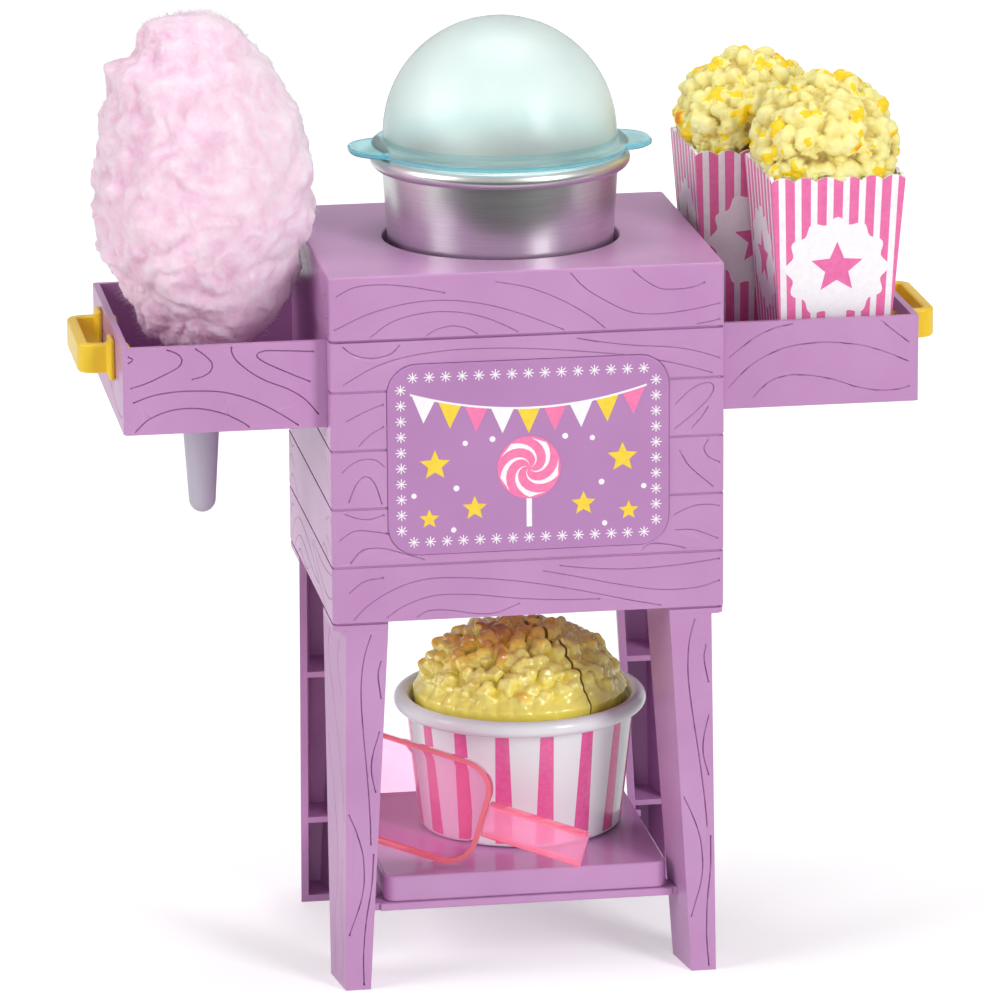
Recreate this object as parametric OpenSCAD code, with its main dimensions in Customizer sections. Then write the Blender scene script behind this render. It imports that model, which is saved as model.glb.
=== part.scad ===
// Toy street food stand: a planked cabinet on four channel legs, with a pot under a dome, two side drawers,
// a lower shelf, and the pretend food that belongs to it. Millimetres, +Z up, floor at z = 0.

/* [Cabinet] */
// Width of the cabinet across the front
cab_w = 130; // [126:1:150]
// Depth of the cabinet from front to back
cab_d = 112; // [110:1:130]
// Height of the planked cabinet walls
cab_h = 94; // [88:1:110]
// Thickness of the cabinet walls
cab_wall = 2.4; // [2:0.1:3]
// Radius of the cabinet's upright corners
corner_r = 1.6; // [0.8:0.2:2.4]
// Height of each full plank
plank_h = 19.6; // [15:0.2:24]
// Height of the short plank under the counter
plank_top = 16; // [10:0.5:20]
// Width of the joint between planks
joint_w = 0.8; // [0.4:0.1:1.2]
// Depth of the joint between planks
joint_d = 0.7; // [0.3:0.1:1]

/* [Sign] */
// Width of the sign panel
sign_w = 93; // [70:1:110]
// Height of the sign panel
sign_h = 64; // [50:1:70]
// Corner radius of the sign panel
sign_r = 10; // [4:1:14]
// Thickness of the sign panel
sign_t = 1.4; // [1:0.1:2]
// Depth that the sign panel is let into the front wall
sign_sink = 0.8; // [0.4:0.1:1]
// Height of the sign's middle above the cabinet's lower edge
sign_up = 54.2; // [45:0.2:58]

/* [Counter] */
// Height of the counter slab
top_h = 21.9; // [20:0.1:28]
// Thickness of the counter's top and sides
top_wall = 2.6; // [2:0.1:3.2]
// Radius of the well that takes the pot
well_r = 39.3; // [38.8:0.1:42]
// Thickness of the well's wall and floor
well_wall = 2; // [1.4:0.1:2.4]
// Height of the shadow line at the counter's lower edge
seam_h = 1; // [0.5:0.1:1.6]
// Depth of the shadow line at the counter's lower edge
seam_d = 0.6; // [0.3:0.1:1]

/* [Legs] */
// Height of the legs from the floor to the base plate's pads
leg_h = 123.6; // [118:0.2:150]
// Wall thickness of the leg channels
leg_wall = 2.4; // [1.8:0.1:3]
// Width of a leg's face at the top
leg_face_top = 14; // [12:0.5:18]
// Width of a leg's face at the foot
leg_face_foot = 8.3; // [7:0.1:12]
// Width of a leg's open side at the top
leg_open_top = 21.7; // [18:0.1:26]
// Width of a leg's open side at the foot
leg_open_foot = 13.8; // [12:0.1:16]
// Depth of a leg at the top
leg_depth_top = 25; // [22:0.5:30]
// Depth of a leg at the foot
leg_depth_foot = 18.4; // [15:0.2:22]
// Inset of a leg's face from the cabinet side at the top
leg_in_top = 4.2; // [2:0.1:5]
// Inset of a leg's face from the cabinet side at the foot
leg_in_foot = 2.6; // [1:0.1:4]
// Distance that the foot stands forward of the cabinet
foot_kick = 0.9; // [0:0.1:2]
// Height of the lower rib's underside
rib_low = 29; // [28:1:40]
// Height of the upper rib's underside
rib_high = 82; // [60:1:100]
// Thickness of the ribs
rib_t = 2; // [1.4:0.1:3]

/* [Base plate] */
// Thickness of the pads between legs and cabinet
base_t = 2.6; // [2:0.1:4]
// Corner radius of the pads
base_r = 3; // [1:0.5:5]
// Thickness of the floor that joins the pads and closes the cabinet
floor_t = 2; // [1.6:0.1:3]
// Height of the shadow line between the pads and the cabinet
base_seam_h = 0.8; // [0.4:0.1:1.2]
// Depth of the shadow line between the pads and the cabinet
base_seam_d = 1.2; // [0.6:0.1:1.6]

/* [Shelf] */
// Height of the shelf ledge's underside
ledge_z = 24; // [16:0.5:26]
// Thickness of the shelf ledge
ledge_t = 2.6; // [2:0.1:3]
// Depth of the shelf ledge
ledge_d = 96; // [94:0.5:100]
// Length of the tabs that pass through the legs' inner walls
tab_l = 5; // [4:0.5:7]
// Width of those tabs
tab_w = 8; // [5:0.5:9]
// Distance of the tabs' middles from the legs' faces
tab_in = 13; // [10:0.5:13]
// Distance of the shelf panel's sides inside the ledge's ends
shelf_in = 1.65; // [0.9:0.05:4]
// Depth of the shelf panel
shelf_d = 94; // [90:0.5:95]
// Height of the shelf panel
shelf_h = 9; // [6:0.2:12]
// Wall thickness of the shelf panel
shelf_wall = 2.4; // [1.8:0.1:3]
// Corner radius of the shelf panel
shelf_r = 4; // [2:0.5:6]

/* [Drawers] */
// Length of a drawer
drawer_l = 69.5; // [67.5:0.5:72]
// Distance of a drawer's sides inside the cabinet's front and back
drawer_in = 7; // [6.5:0.1:7.5]
// Height of a drawer
drawer_h = 28.9; // [26:0.1:32]
// Wall and floor thickness of a drawer
drawer_wall = 2.2; // [1.8:0.1:2.6]
// Distance that a drawer stands out of the cabinet's side
drawer_out = 66.5; // [65.5:0.5:67]
// Length of the runners that stay inside the cabinet
runner_l = 28; // [20:1:40]
// Width of the runners
runner_w = 8; // [5:0.5:10]
// Thickness of the runners
runner_t = 2; // [1.6:0.1:2.4]
// Length of a runner's root under the drawer floor
runner_root = 14; // [8:1:20]
// Places of the two runners across the drawer
runner_y = [30, -18];
// Thickness of the deck that the drawers run on
deck_t = 2.2; // [1.6:0.1:3]
// Width and height of the ledges that carry the deck
deck_ledge = 3; // [2:0.5:4]

/* [Handles] */
// Distance between the middles of a handle's foot plates
grip_span = 41; // [32:1:60]
// Distance that the grip stands out of the drawer
grip_reach = 11.8; // [11:0.2:16]
// Height of the grip
grip_h = 9.8; // [7:0.2:13]
// Thickness of the grip
grip_t = 3.6; // [2.6:0.1:4.4]
// Radius of the grip's outer bends
grip_r = 5.5; // [4.5:0.5:7]
// Width of a foot plate
plate_w = 9; // [7.5:0.5:12]
// Height of a foot plate
plate_h = 14; // [13.5:0.5:18]
// Thickness of a foot plate
plate_t = 2; // [1.4:0.1:3]
// Distance of the handle's middle below the drawer rim
grip_down = 9.4; // [9.2:0.2:16]
// Width of the clips that pass through the drawer wall
clip_w = 5; // [3:0.5:6.5]
// Height of the clips
clip_h = 8.5; // [5:0.5:9]
// Length of the clips inside the drawer
clip_l = 3; // [2:0.5:4]

/* [Pot] */
// Height of the pot
pot_h = 46.4; // [42:0.2:55]
// Depth of the pot's foot below the counter's surface
pot_sink = 17.4; // [14:0.2:17.4]
// Outer radius of the pot's foot
pot_foot_r = 36.6; // [33:0.1:37]
// Outer radius of the pot's wall under the rim
pot_neck_r = 39; // [38:0.1:40]
// Outer radius of the pot's rim
pot_rim_r = 43.1; // [42.5:0.1:44]
// Radius of the rolled edge of pot and tub
bead_r = 2.8; // [2.4:0.1:3]
// Wall thickness of the pot
pot_wall = 1.8; // [1.2:0.1:2.2]

/* [Dome lid] */
// Outer radius of the dome
lid_r = 38.8; // [38:0.1:40]
// Wall thickness of the dome lid
lid_wall = 1.6; // [1.2:0.1:2]
// Height of the straight part below the dome
lid_neck = 3; // [1:0.2:6]
// Radius of the lid's flange
flange_r = 42.6; // [41.5:0.1:44]
// Thickness of the lid's flange
flange_t = 2; // [1.4:0.1:3]
// Distance of the ears' ends from the lid's axis
ear_reach = 50.6; // [48:0.2:56]
// Width of the ears
ear_w = 28; // [25:1:36]
// Corner radius of the ears
ear_r = 12; // [2:0.5:12]
// Height of the lip that sits inside the pot
lip_h = 3; // [2:0.5:5]

/* [Popcorn tub] */
// Height of the tub
tub_h = 46; // [40:0.5:50]
// Outer radius of the tub's foot
tub_foot_r = 34.5; // [32:0.1:36]
// Outer radius of the tub's wall under the rim
tub_neck_r = 38.8; // [38:0.1:40]
// Outer radius of the tub's rim
tub_rim_r = 42.9; // [42.5:0.1:44]
// Wall thickness of the tub
tub_wall = 2; // [1.4:0.1:2.4]
// Place of the tub to the right of the shelf's middle
tub_x = 7; // [5:0.2:7.6]
// Place of the tub behind the shelf's middle
tub_y = 9; // [6:0.2:9]
// Room between the popcorn heap and the height of the legs' tops
heap_room = 14.7; // [14:0.1:22]
// Rise of the heap's higher side over its middle
heap_lean = 3; // [0:0.5:5]
// Direction of the heap's higher side, from the right hand side
heap_back = 25; // [0:5:90]
// Gap round the heap inside the tub's mouth
heap_gap = 1.2; // [1.2:0.1:2]
// Angle at which the loose wedge starts, from the right hand side
wedge_from = -58; // [-80:1:-40]
// Angle of the loose wedge
wedge_angle = 98; // [60:1:120]
// Gap beside the loose wedge
wedge_gap = 0.6; // [0.4:0.1:1]

/* [Scoop] */
// Length of the scoop's blade
blade_l = 42; // [36:0.5:44]
// Width of the blade
blade_w = 37.7; // [34:0.1:40]
// Depth of the blade
blade_d = 10.5; // [8:0.5:12]
// Wall thickness of the scoop
scoop_wall = 1.8; // [1.4:0.1:2.2]
// Corner radius of the blade
blade_r = 11; // [6:0.5:14]
// Length of the scoop's handle
shaft_l = 35; // [28:0.5:36]
// Width of the scoop's handle
shaft_w = 11.4; // [8:0.2:13]
// Thickness of the scoop's handle
shaft_t = 6; // [4.6:0.2:8]
// Slope of the scoop's handle towards the shelf
scoop_tilt = 15.7; // [14:0.1:18]
// Turn of the scoop towards the front
scoop_yaw = -18.6; // [-20:0.1:-17]
// Place of the blade's back end from the shelf's middle
scoop_x = -13.4; // [-14:0.1:-12]
// Distance of the blade's rim behind the shelf panel's front edge
scoop_in = 5.6; // [4.6:0.1:6]

/* [Cotton candy] */
// Length of the cone below the drawer floor
cone_drop = 44; // [34:0.5:46]
// Length of the cone above the drawer floor
cone_rise = 18; // [15:0.5:24]
// Radius of the cone where it passes the drawer floor
cone_r = 7; // [5:0.1:8]
// Radius of the cone's rounded tip
cone_tip_r = 4.5; // [3:0.1:4.6]
// Largest radius of the floss
floss_r = 36.4; // [32:0.2:37]
// Height of the floss
floss_h = 111; // [95:1:120]
// Height of the widest place above the floss's lower end
floss_belly = 48; // [44:1:56]
// Height of the floss's lower end above the drawer floor
floss_up = 13.4; // [12:0.2:15]
// Height of the lumps on the floss
floss_lump = 1.5; // [0:0.1:2]
// Gap between the floss and the counter's side
floss_gap = 0.5; // [0.4:0.1:3]

/* [Popcorn boxes] */
// Width of a box at its foot
box_w = 34.6; // [30:0.2:36]
// Widening of a box from its foot to its rim
box_flare = 10.4; // [6:0.2:10.4]
// Height of a box
box_h = 71; // [64:0.5:80]
// Wall thickness of a box
box_wall = 1.2; // [0.8:0.1:1.6]
// Gap from the drawer's end wall to the plumb line of the front box's rim
front_end_gap = 2.1; // [1:0.1:4]
// Gap from the drawer's front wall to the plumb line of the front box's rim
front_side_gap = 0.6; // [0.3:0.1:1]
// Gap between the two boxes' rims
box_gap = 1.8; // [1.8:0.1:2.4]
// Distance that the rear box's rim reaches over the drawer's rear wall
rear_over = 0.8; // [0:0.1:2]
// Gap from the counter's side to the rear box's rim
rear_gap = 1; // [0.5:0.1:1.2]
// Height of the popcorn above a box's rim
corn_h = 30; // [20:0.5:34]
// Distance that the popcorn swells over the sides of a box
corn_bulge = 2.4; // [0:0.1:2.4]
// Angle below the popcorn's widest place at which it meets the rim
corn_under = 25; // [10:1:30]
// Depth of the popcorn's foot below a box's rim
corn_sink = 5; // [4:0.5:8]
// Height of the lumps on the popcorn
corn_lump = 1.8; // [0:0.1:2]

/* [Screws] */
// Diameter of the screws
screw_d = 2.2; // [1.8:0.1:2.6]
// Diameter of the screw heads
screw_head_d = 4.2; // [3.6:0.1:5]
// Height of the screw heads
screw_head_h = 1.6; // [1:0.1:2]
// Length of a leg screw's shank
leg_screw_l = 8.4; // [7.4:0.2:9]
// Length of a counter screw's shank
top_screw_l = 22; // [19:0.5:23]
// Radial clearance of a screw in its hole
screw_gap = 0.05; // [0.02:0.01:0.1]
// Diameter of the screw bosses in the base plate
base_boss_d = 6.4; // [5.6:0.2:7]
// Height of the screw bosses in the base plate
base_boss_h = 6; // [5.8:0.2:8]
// Diameter of the counter screws' bosses
top_boss_d = 4.6; // [4.2:0.1:5]
// Height of the counter screws' bosses in the cabinet
top_boss_h = 12; // [8:0.5:14]
// Distance of the counter screws from the cabinet's side
top_screw_in = 8; // [7:0.5:12]
// Distances of the two leg screws behind a leg's face
leg_screw_y = [8.5, 17];

/* [Fits] */
// Gap under and over a piece that slides or lifts off
seat_gap = 0.3; // [0.2:0.05:0.4]
// Gap at the sides of a drawer in its window
side_gap = 0.4; // [0.3:0.05:0.6]
// Gap round a piece that is let into another
inlay_gap = 0.15; // [0.1:0.05:0.25]

/* [Hidden] */
$fn = 64;

// Cuts run past the face that they open by this much
past = 1;
half_w = cab_w / 2;
half_d = cab_d / 2;

// Heights from the floor up
cab_z = leg_h + base_t;
cab_top = cab_z + cab_h;
top_z = cab_top + top_h;
ledge_top = ledge_z + ledge_t;
shelf_top = ledge_top + shelf_h;
drawer_top = cab_top - seat_gap;
drawer_z = drawer_top - drawer_h;
deck_z = drawer_z - seat_gap - deck_t;
drawer_floor = drawer_z + runner_t + seat_gap + drawer_wall;
pot_z = top_z - pot_sink;
pot_top = pot_z + pot_h;
lid_z = pot_top + seat_gap;
tub_z = shelf_top + seat_gap;
tub_top = tub_z + tub_h;
heap_h = leg_h - heap_room - tub_top;

// Places along the drawers, on the right hand side
drawer_end = half_w + drawer_out;
drawer_root = drawer_end - drawer_l;
drawer_d = cab_d - 2 * drawer_in;
box_z = drawer_floor + seat_gap;
box_top = box_z + box_h;

// Screw places, on the front right
leg_screw_x = half_w - leg_in_top - leg_face_top / 2;
top_screw_x = half_w - top_screw_in;
top_screw_y = half_d - cab_wall - top_boss_d / 2 + inlay_gap;
screw_bore = screw_d + 2 * screw_gap;

purple = "#c692c8";
shade = "#a873ac";
yellow = "#f0c030";
corn = "#f0dc8c";

// Flat shapes

module rounded(w, d, r) {
    square([w - 2 * r, d], center = true);
    square([w, d - 2 * r], center = true);
    for (x = [-1, 1], y = [-1, 1]) translate([x * (w / 2 - r), y * (d / 2 - r)]) circle(r);
}

// Solid between a lower and an upper ring of as many corners, both turning clockwise from above
module loft(low, high) {
    n = len(low);
    sides = [for (i = [0 : n - 1]) [i, (i + 1) % n, (i + 1) % n + n, i + n]];
    floor_face = [for (i = [n - 1 : -1 : 0]) i];
    roof_face = [for (i = [0 : n - 1]) i + n];
    polyhedron(concat(low, high), concat([floor_face, roof_face], sides));
}

// Legs

// Plan of a front right leg at height z, drawn in by wall and open by reach behind
function leg_mix(foot, top, z) = foot + (top - foot) * z / leg_h;
function leg_ring(z, wall = 0, reach = 0) =
    let (
        face_out = half_w - leg_mix(leg_in_foot, leg_in_top, z),
        face_in = face_out - leg_mix(leg_face_foot, leg_face_top, z),
        open_in = half_w - leg_mix(leg_open_foot, leg_open_top, z),
        front = -half_d - leg_mix(foot_kick, 0, z),
        back = front + leg_mix(leg_depth_foot, leg_depth_top, z)
    )
    [
        [face_out - wall, front + wall, z],
        [face_in + wall, front + wall, z],
        [open_in + wall, back + reach, z],
        [half_w - wall, back + reach, z]
    ];

module leg() {
    cells = [
        [leg_wall, rib_low],
        [rib_low + rib_t, rib_high],
        [rib_high + rib_t, leg_h - leg_wall]
    ];
    difference() {
        loft(leg_ring(0), leg_ring(leg_h));
        for (c = cells) loft(leg_ring(c[0], leg_wall, past), leg_ring(c[1], leg_wall, past));
        for (y = leg_screw_y) translate([leg_screw_x, y - half_d, leg_h - leg_wall - past])
            cylinder(d = screw_bore, h = leg_wall + 2 * past);
        ledge_tab(inlay_gap);
    }
}

module front_right_leg() { color(purple) leg(); }
module front_left_leg() { color(purple) mirror([1, 0, 0]) leg(); }
module rear_right_leg() { color(shade) mirror([0, 1, 0]) leg(); }
module rear_left_leg() { color(shade) mirror([1, 0, 0]) mirror([0, 1, 0]) leg(); }

// Screw along +Z whose shank starts at the origin and whose head lies below it
module screw(length) {
    cylinder(d = screw_d, h = length);
    translate([0, 0, -screw_head_h]) cylinder(d = screw_head_d, h = screw_head_h);
}

module leg_screw_places(z) {
    for (x = [-1, 1], y = [-1, 1], dy = leg_screw_y)
        translate([x * leg_screw_x, y * (half_d - dy), z]) children();
}

module leg_screws() {
    color("silver") leg_screw_places(leg_h - leg_wall) screw(leg_screw_l);
}

// Plan of the four pads, each over a leg's top and out past the cabinet's sides
module leg_pads() {
    top = leg_ring(leg_h);
    front = top[0][1];
    back = top[2][1];
    for (x = [0, 1], y = [0, 1]) mirror([x, 0]) mirror([0, y]) polygon([
        [half_w + past, front - past], [top[1][0], front - past], [top[1][0], front],
        [top[2][0], back], [half_w + past, back]
    ]);
}

module base_plate() {
    boss = base_t + base_boss_h;
    inside = cab_wall + inlay_gap;
    color(purple) difference() {
        union() {
            translate([0, 0, leg_h]) linear_extrude(base_t) intersection() {
                rounded(cab_w, cab_d, base_r);
                leg_pads();
            }
            translate([0, 0, cab_z]) linear_extrude(floor_t)
                square([cab_w - 2 * inside, cab_d - 2 * inside], center = true);
            leg_screw_places(leg_h) cylinder(d = base_boss_d, h = boss);
        }
        translate([0, 0, cab_z - base_seam_h]) groove(base_seam_h, base_seam_d);
        leg_screw_places(leg_h - past) cylinder(d = screw_bore, h = boss + 2 * past);
    }
}

// Shelf

// Half the width of the ledge, which reaches the inner edges of the legs' open sides
ledge_half = half_w - leg_mix(leg_open_foot, leg_open_top, ledge_top) - inlay_gap;
shelf_w = 2 * (ledge_half - shelf_in);

// Tab at the front right, grown by gap for its slot
module ledge_tab(gap = 0) {
    translate([ledge_half - past, tab_in - half_d - tab_w / 2 - gap, ledge_z - gap])
        cube([tab_l + past, tab_w + 2 * gap, ledge_t + 2 * gap]);
}

module shelf_ledge() {
    color(purple) {
        translate([-ledge_half, -ledge_d / 2, ledge_z]) cube([2 * ledge_half, ledge_d, ledge_t]);
        for (x = [0, 1], y = [0, 1]) mirror([x, 0, 0]) mirror([0, y, 0]) ledge_tab();
    }
}

module shelf_panel() {
    color(purple) translate([0, 0, ledge_top]) difference() {
        linear_extrude(shelf_h) rounded(shelf_w, shelf_d, shelf_r);
        translate([0, 0, -past]) linear_extrude(shelf_h - shelf_wall + past)
            rounded(shelf_w - 2 * shelf_wall, shelf_d - 2 * shelf_wall, shelf_r - shelf_wall / 2);
    }
}

// Cabinet

// Heights of the joints between planks, counted down from the cabinet's top
joints = [for (z = [cab_top - plank_top : -plank_h : cab_z + joint_w]) z];

module sign_shape(gap, front, back) {
    translate([0, front, cab_z + sign_up]) rotate([-90, 0, 0]) linear_extrude(back - front)
        rounded(sign_w + 2 * gap, sign_h + 2 * gap, sign_r + gap);
}

module top_boss_places() {
    for (x = [-1, 1], y = [-1, 1]) translate([x * top_screw_x, y * top_screw_y, 0]) children();
}

// Ring that cuts a groove of the given height and depth round the cabinet's outside
module groove(height, depth) {
    linear_extrude(height) difference() {
        rounded(cab_w + 2 * past, cab_d + 2 * past, corner_r + past);
        rounded(cab_w - 2 * depth, cab_d - 2 * depth, corner_r);
    }
}

module cabinet_shell() {
    inner_d = cab_d - 2 * cab_wall;
    inner_w = cab_w - 2 * cab_wall;
    window_d = drawer_d + 2 * side_gap;
    window_z = drawer_z - seat_gap;
    boss_z = cab_top - top_boss_h;
    color(purple) difference() {
        union() {
            translate([0, 0, cab_z]) linear_extrude(cab_h) difference() {
                rounded(cab_w, cab_d, corner_r);
                square([inner_w, inner_d], center = true);
            }
            for (y = [0, 1]) mirror([0, y, 0])
                translate([-inner_w / 2, inner_d / 2 - deck_ledge, deck_z - deck_ledge])
                    cube([inner_w, deck_ledge + joint_d, deck_ledge]);
            top_boss_places() translate([0, 0, boss_z]) cylinder(d = top_boss_d, h = top_boss_h);
        }
        translate([-half_w - past, -window_d / 2, window_z])
            cube([cab_w + 2 * past, window_d, cab_top - window_z + past]);
        for (z = joints) translate([0, 0, z - joint_w]) groove(joint_w, joint_d);
        sign_shape(inlay_gap, -half_d - past, sign_sink - half_d);
        top_boss_places() translate([0, 0, boss_z - past])
            cylinder(d = screw_bore, h = top_boss_h + 2 * past);
    }
}

module sign_panel() {
    color("#b882ba") sign_shape(0, sign_sink - half_d - sign_t, sign_sink - half_d);
}

module drawer_deck() {
    w = cab_w - 2 * cab_wall - 2 * inlay_gap;
    d = cab_d - 2 * cab_wall - 2 * inlay_gap;
    color(shade) translate([-w / 2, -d / 2, deck_z]) cube([w, d, deck_t]);
}

module counter_top() {
    inner = top_h - top_wall;
    well_z = pot_z - seat_gap;
    well_h = pot_sink + seat_gap;
    color(purple) difference() {
        union() {
            translate([0, 0, cab_top]) linear_extrude(top_h) difference() {
                rounded(cab_w, cab_d, corner_r);
                square([cab_w - 2 * top_wall, cab_d - 2 * top_wall], center = true);
            }
            translate([0, 0, top_z - top_wall]) linear_extrude(top_wall) rounded(cab_w, cab_d, corner_r);
            translate([0, 0, well_z - well_wall]) cylinder(r = well_r + well_wall, h = well_h);
            top_boss_places() translate([0, 0, cab_top]) cylinder(d = top_boss_d, h = inner);
        }
        translate([0, 0, well_z]) cylinder(r = well_r, h = well_h + past);
        translate([0, 0, cab_top - past]) groove(seam_h + past, seam_d);
        top_boss_places() translate([0, 0, cab_top - past]) cylinder(d = screw_bore, h = inner + past);
    }
}

module counter_screws() {
    color("silver") top_boss_places() translate([0, 0, cab_top - top_boss_h]) screw(top_screw_l);
}

// Drawers

grip_z = drawer_top - grip_down;

module clip_places() {
    for (y = [-1, 1]) translate([drawer_end, y * grip_span / 2, grip_z]) children();
}

// Drawer on the right hand side, with its runners reaching into the cabinet
module drawer(hole) {
    under = drawer_floor - drawer_wall;
    inner_l = drawer_l - 2 * drawer_wall;
    inner_d = drawer_d - 2 * drawer_wall;
    difference() {
        union() {
            difference() {
                translate([drawer_root, -drawer_d / 2, drawer_z]) cube([drawer_l, drawer_d, drawer_h]);
                translate([drawer_root + drawer_wall, -inner_d / 2, drawer_floor])
                    cube([inner_l, inner_d, drawer_h]);
                translate([drawer_root - past, -inner_d / 2, drawer_z - past])
                    cube([inner_l + drawer_wall + past, inner_d, under - drawer_z + past]);
            }
            for (y = runner_y) translate([drawer_root - runner_l, y - runner_w / 2, drawer_z]) {
                cube([runner_l + runner_root, runner_w, runner_t]);
                translate([runner_l, 0, 0]) cube([runner_root, runner_w, under - drawer_z]);
            }
        }
        clip_places() translate([-drawer_wall - past, -clip_w / 2 - inlay_gap, -clip_h / 2 - inlay_gap])
            cube([drawer_wall + 2 * past, clip_w + 2 * inlay_gap, clip_h + 2 * inlay_gap]);
        if (hole) translate([-candy_x, 0, under - past])
            cylinder(r = cone_r + seat_gap, h = drawer_wall + 2 * past);
    }
}

module right_drawer() { color(purple) drawer(false); }
module left_drawer() { color(purple) rotate(180) drawer(true); }

// Handle on the right hand side: a grip on two foot plates, held by clips through the drawer's end
module handle() {
    outer = grip_span + grip_t;
    clip_places() {
        translate([0, -plate_w / 2, -plate_h / 2]) cube([plate_t, plate_w, plate_h]);
        translate([-drawer_wall - clip_l, -clip_w / 2, -clip_h / 2])
            cube([drawer_wall + clip_l + plate_t, clip_w, clip_h]);
    }
    translate([drawer_end, 0, grip_z - grip_h / 2]) linear_extrude(grip_h) intersection() {
        difference() {
            rounded(2 * grip_reach, outer, grip_r);
            rounded(2 * (grip_reach - grip_t), outer - 2 * grip_t, grip_r - grip_t);
        }
        translate([plate_t / 2, -outer / 2]) square([grip_reach, outer]);
    }
}

module right_handle() { color(yellow) handle(); }
module left_handle() { color(yellow) rotate(180) handle(); }

// Pot, lid and tub

// Round vessel with a rolled edge, standing on z = 0
module vessel(foot_r, neck_r, rim_r, height, wall) {
    neck_z = height - bead_r;
    rotate_extrude() {
        polygon([
            [0, 0], [foot_r, 0], [neck_r, neck_z],
            [neck_r - wall, neck_z], [foot_r - wall, wall], [0, wall]
        ]);
        translate([rim_r - bead_r, neck_z]) circle(bead_r);
    }
}

module pot() {
    color("#b4b2b8") translate([0, 0, pot_z]) vessel(pot_foot_r, pot_neck_r, pot_rim_r, pot_h, pot_wall);
}

module ear() {
    reach = ear_reach - lid_r;
    translate([lid_r + reach / 2 - ear_r / 2, 0]) rounded(reach + ear_r, ear_w, ear_r);
}

module dome_lid() {
    lip_r = pot_rim_r - 2 * bead_r - side_gap;
    spring = flange_t + lid_neck;
    color("#9fd4d6") translate([0, 0, lid_z]) {
        rotate_extrude() {
            difference() {
                union() {
                    square([flange_r, flange_t]);
                    square([lid_r, spring]);
                    intersection() {
                        translate([0, spring]) circle(lid_r);
                        translate([0, spring]) square(lid_r);
                    }
                }
                translate([0, -past]) square([lid_r - lid_wall, spring + past]);
                intersection() {
                    translate([0, spring]) circle(lid_r - lid_wall);
                    square([lid_r, spring + lid_r]);
                }
            }
            translate([lip_r - lid_wall, -lip_h]) square([lid_wall, lip_h]);
            translate([lip_r - lid_wall, 0]) square([flange_r - lip_r + lid_wall, flange_t]);
        }
        linear_extrude(flange_t) difference() {
            for (x = [0, 1]) mirror([x, 0]) ear();
            circle(lid_r);
        }
    }
}

module popcorn_tub() {
    color("white") translate([tub_x, tub_y, tub_z])
        vessel(tub_foot_r, tub_neck_r, tub_rim_r, tub_h, tub_wall);
}

// Lumpy food

// Height of a lump from 0 to 1 at ring i and angle a, with n lumps round
function kernel(i, a, n) = abs(sin(n * a / 2 + 67 * i) * cos((n + 3) * a / 2 - 41 * i));
// Plan factor of a round (n = 2) or squared (n > 2) outline at angle a
function squared(a, n) = 1 / pow(pow(abs(cos(a)), n) + pow(abs(sin(a)), n), 1 / n);

// Solid whose rings are given as functions of ring and angle, closed below and running to a tip
module crown(rings, steps, tip_z, at) {
    points = [for (i = [0 : rings - 1]) for (k = [0 : steps - 1]) at(i, 360 * k / steps)];
    base = rings * steps;
    function id(i, k) = i * steps + k % steps;
    walls = [for (i = [0 : rings - 2]) for (k = [0 : steps - 1]) each [
        [id(i, k), id(i + 1, k), id(i + 1, k + 1)],
        [id(i, k), id(i + 1, k + 1), id(i, k + 1)]
    ]];
    ends = [for (k = [0 : steps - 1]) each [
        [base, id(0, k), id(0, k + 1)],
        [base + 1, id(rings - 1, k + 1), id(rings - 1, k)]
    ]];
    polyhedron(concat(points, [[0, 0, at(0, 0)[2]], [0, 0, tip_z]]), concat(walls, ends));
}

// Sector of such a solid between two angles, with flat sides that meet on the axis
module sector(rings, steps, from, to, tip_z, at) {
    points = [for (i = [0 : rings - 1]) for (k = [0 : steps]) at(i, from + (to - from) * k / steps)];
    axis = [for (i = [0 : rings - 1]) [0, 0, (at(i, from)[2] + at(i, from + 180)[2]) / 2]];
    base = rings * (steps + 1);
    tip = base + rings;
    function id(i, k) = i * (steps + 1) + k;
    walls = [for (i = [0 : rings - 2]) for (k = [0 : steps - 1]) each [
        [id(i, k), id(i + 1, k), id(i + 1, k + 1)],
        [id(i, k), id(i + 1, k + 1), id(i, k + 1)]
    ]];
    ends = [for (k = [0 : steps - 1]) each [
        [base, id(0, k), id(0, k + 1)],
        [tip, id(rings - 1, k + 1), id(rings - 1, k)]
    ]];
    flats = [for (i = [0 : rings - 2]) each [
        [base + i, base + i + 1, id(i + 1, 0)],
        [base + i, id(i + 1, 0), id(i, 0)],
        [base + i, id(i, steps), id(i + 1, steps)],
        [base + i, id(i + 1, steps), base + i + 1]
    ]];
    caps = [
        [tip - 1, tip, id(rings - 1, 0)],
        [tip - 1, id(rings - 1, steps), tip]
    ];
    polyhedron(concat(points, axis, [[0, 0, tip_z]]), concat(walls, ends, flats, caps));
}

// Popcorn heap of the tub: a plug that stands on the tub's floor, with a lumpy dome above the rim
heap_rings = 9;
heap_step = 4.9;
heap_lumps = 13;
heap_z = tub_z + tub_wall + seat_gap;
heap_rim_r = tub_rim_r - 2 * bead_r - heap_gap;
heap_foot_r = tub_foot_r - tub_wall - heap_gap;
function heap_rise(i) = 90 * (i - 1) / heap_rings;
function heap_dent(i, a) = i < 2 ? 0 : corn_lump * (1 - kernel(i, a, heap_lumps));
function heap_at(i, a) =
    i == 0 ? [heap_foot_r * cos(a), heap_foot_r * sin(a), heap_z] :
    let (
        r = heap_rim_r * pow(cos(heap_rise(i)), 0.92) - heap_dent(i, a),
        lean = heap_lean * sin(2 * heap_rise(i)) * cos(a - heap_back)
    )
    [r * cos(a), r * sin(a), tub_top + heap_h * sin(heap_rise(i)) + lean];
heap_tip = tub_top + heap_h;
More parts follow.
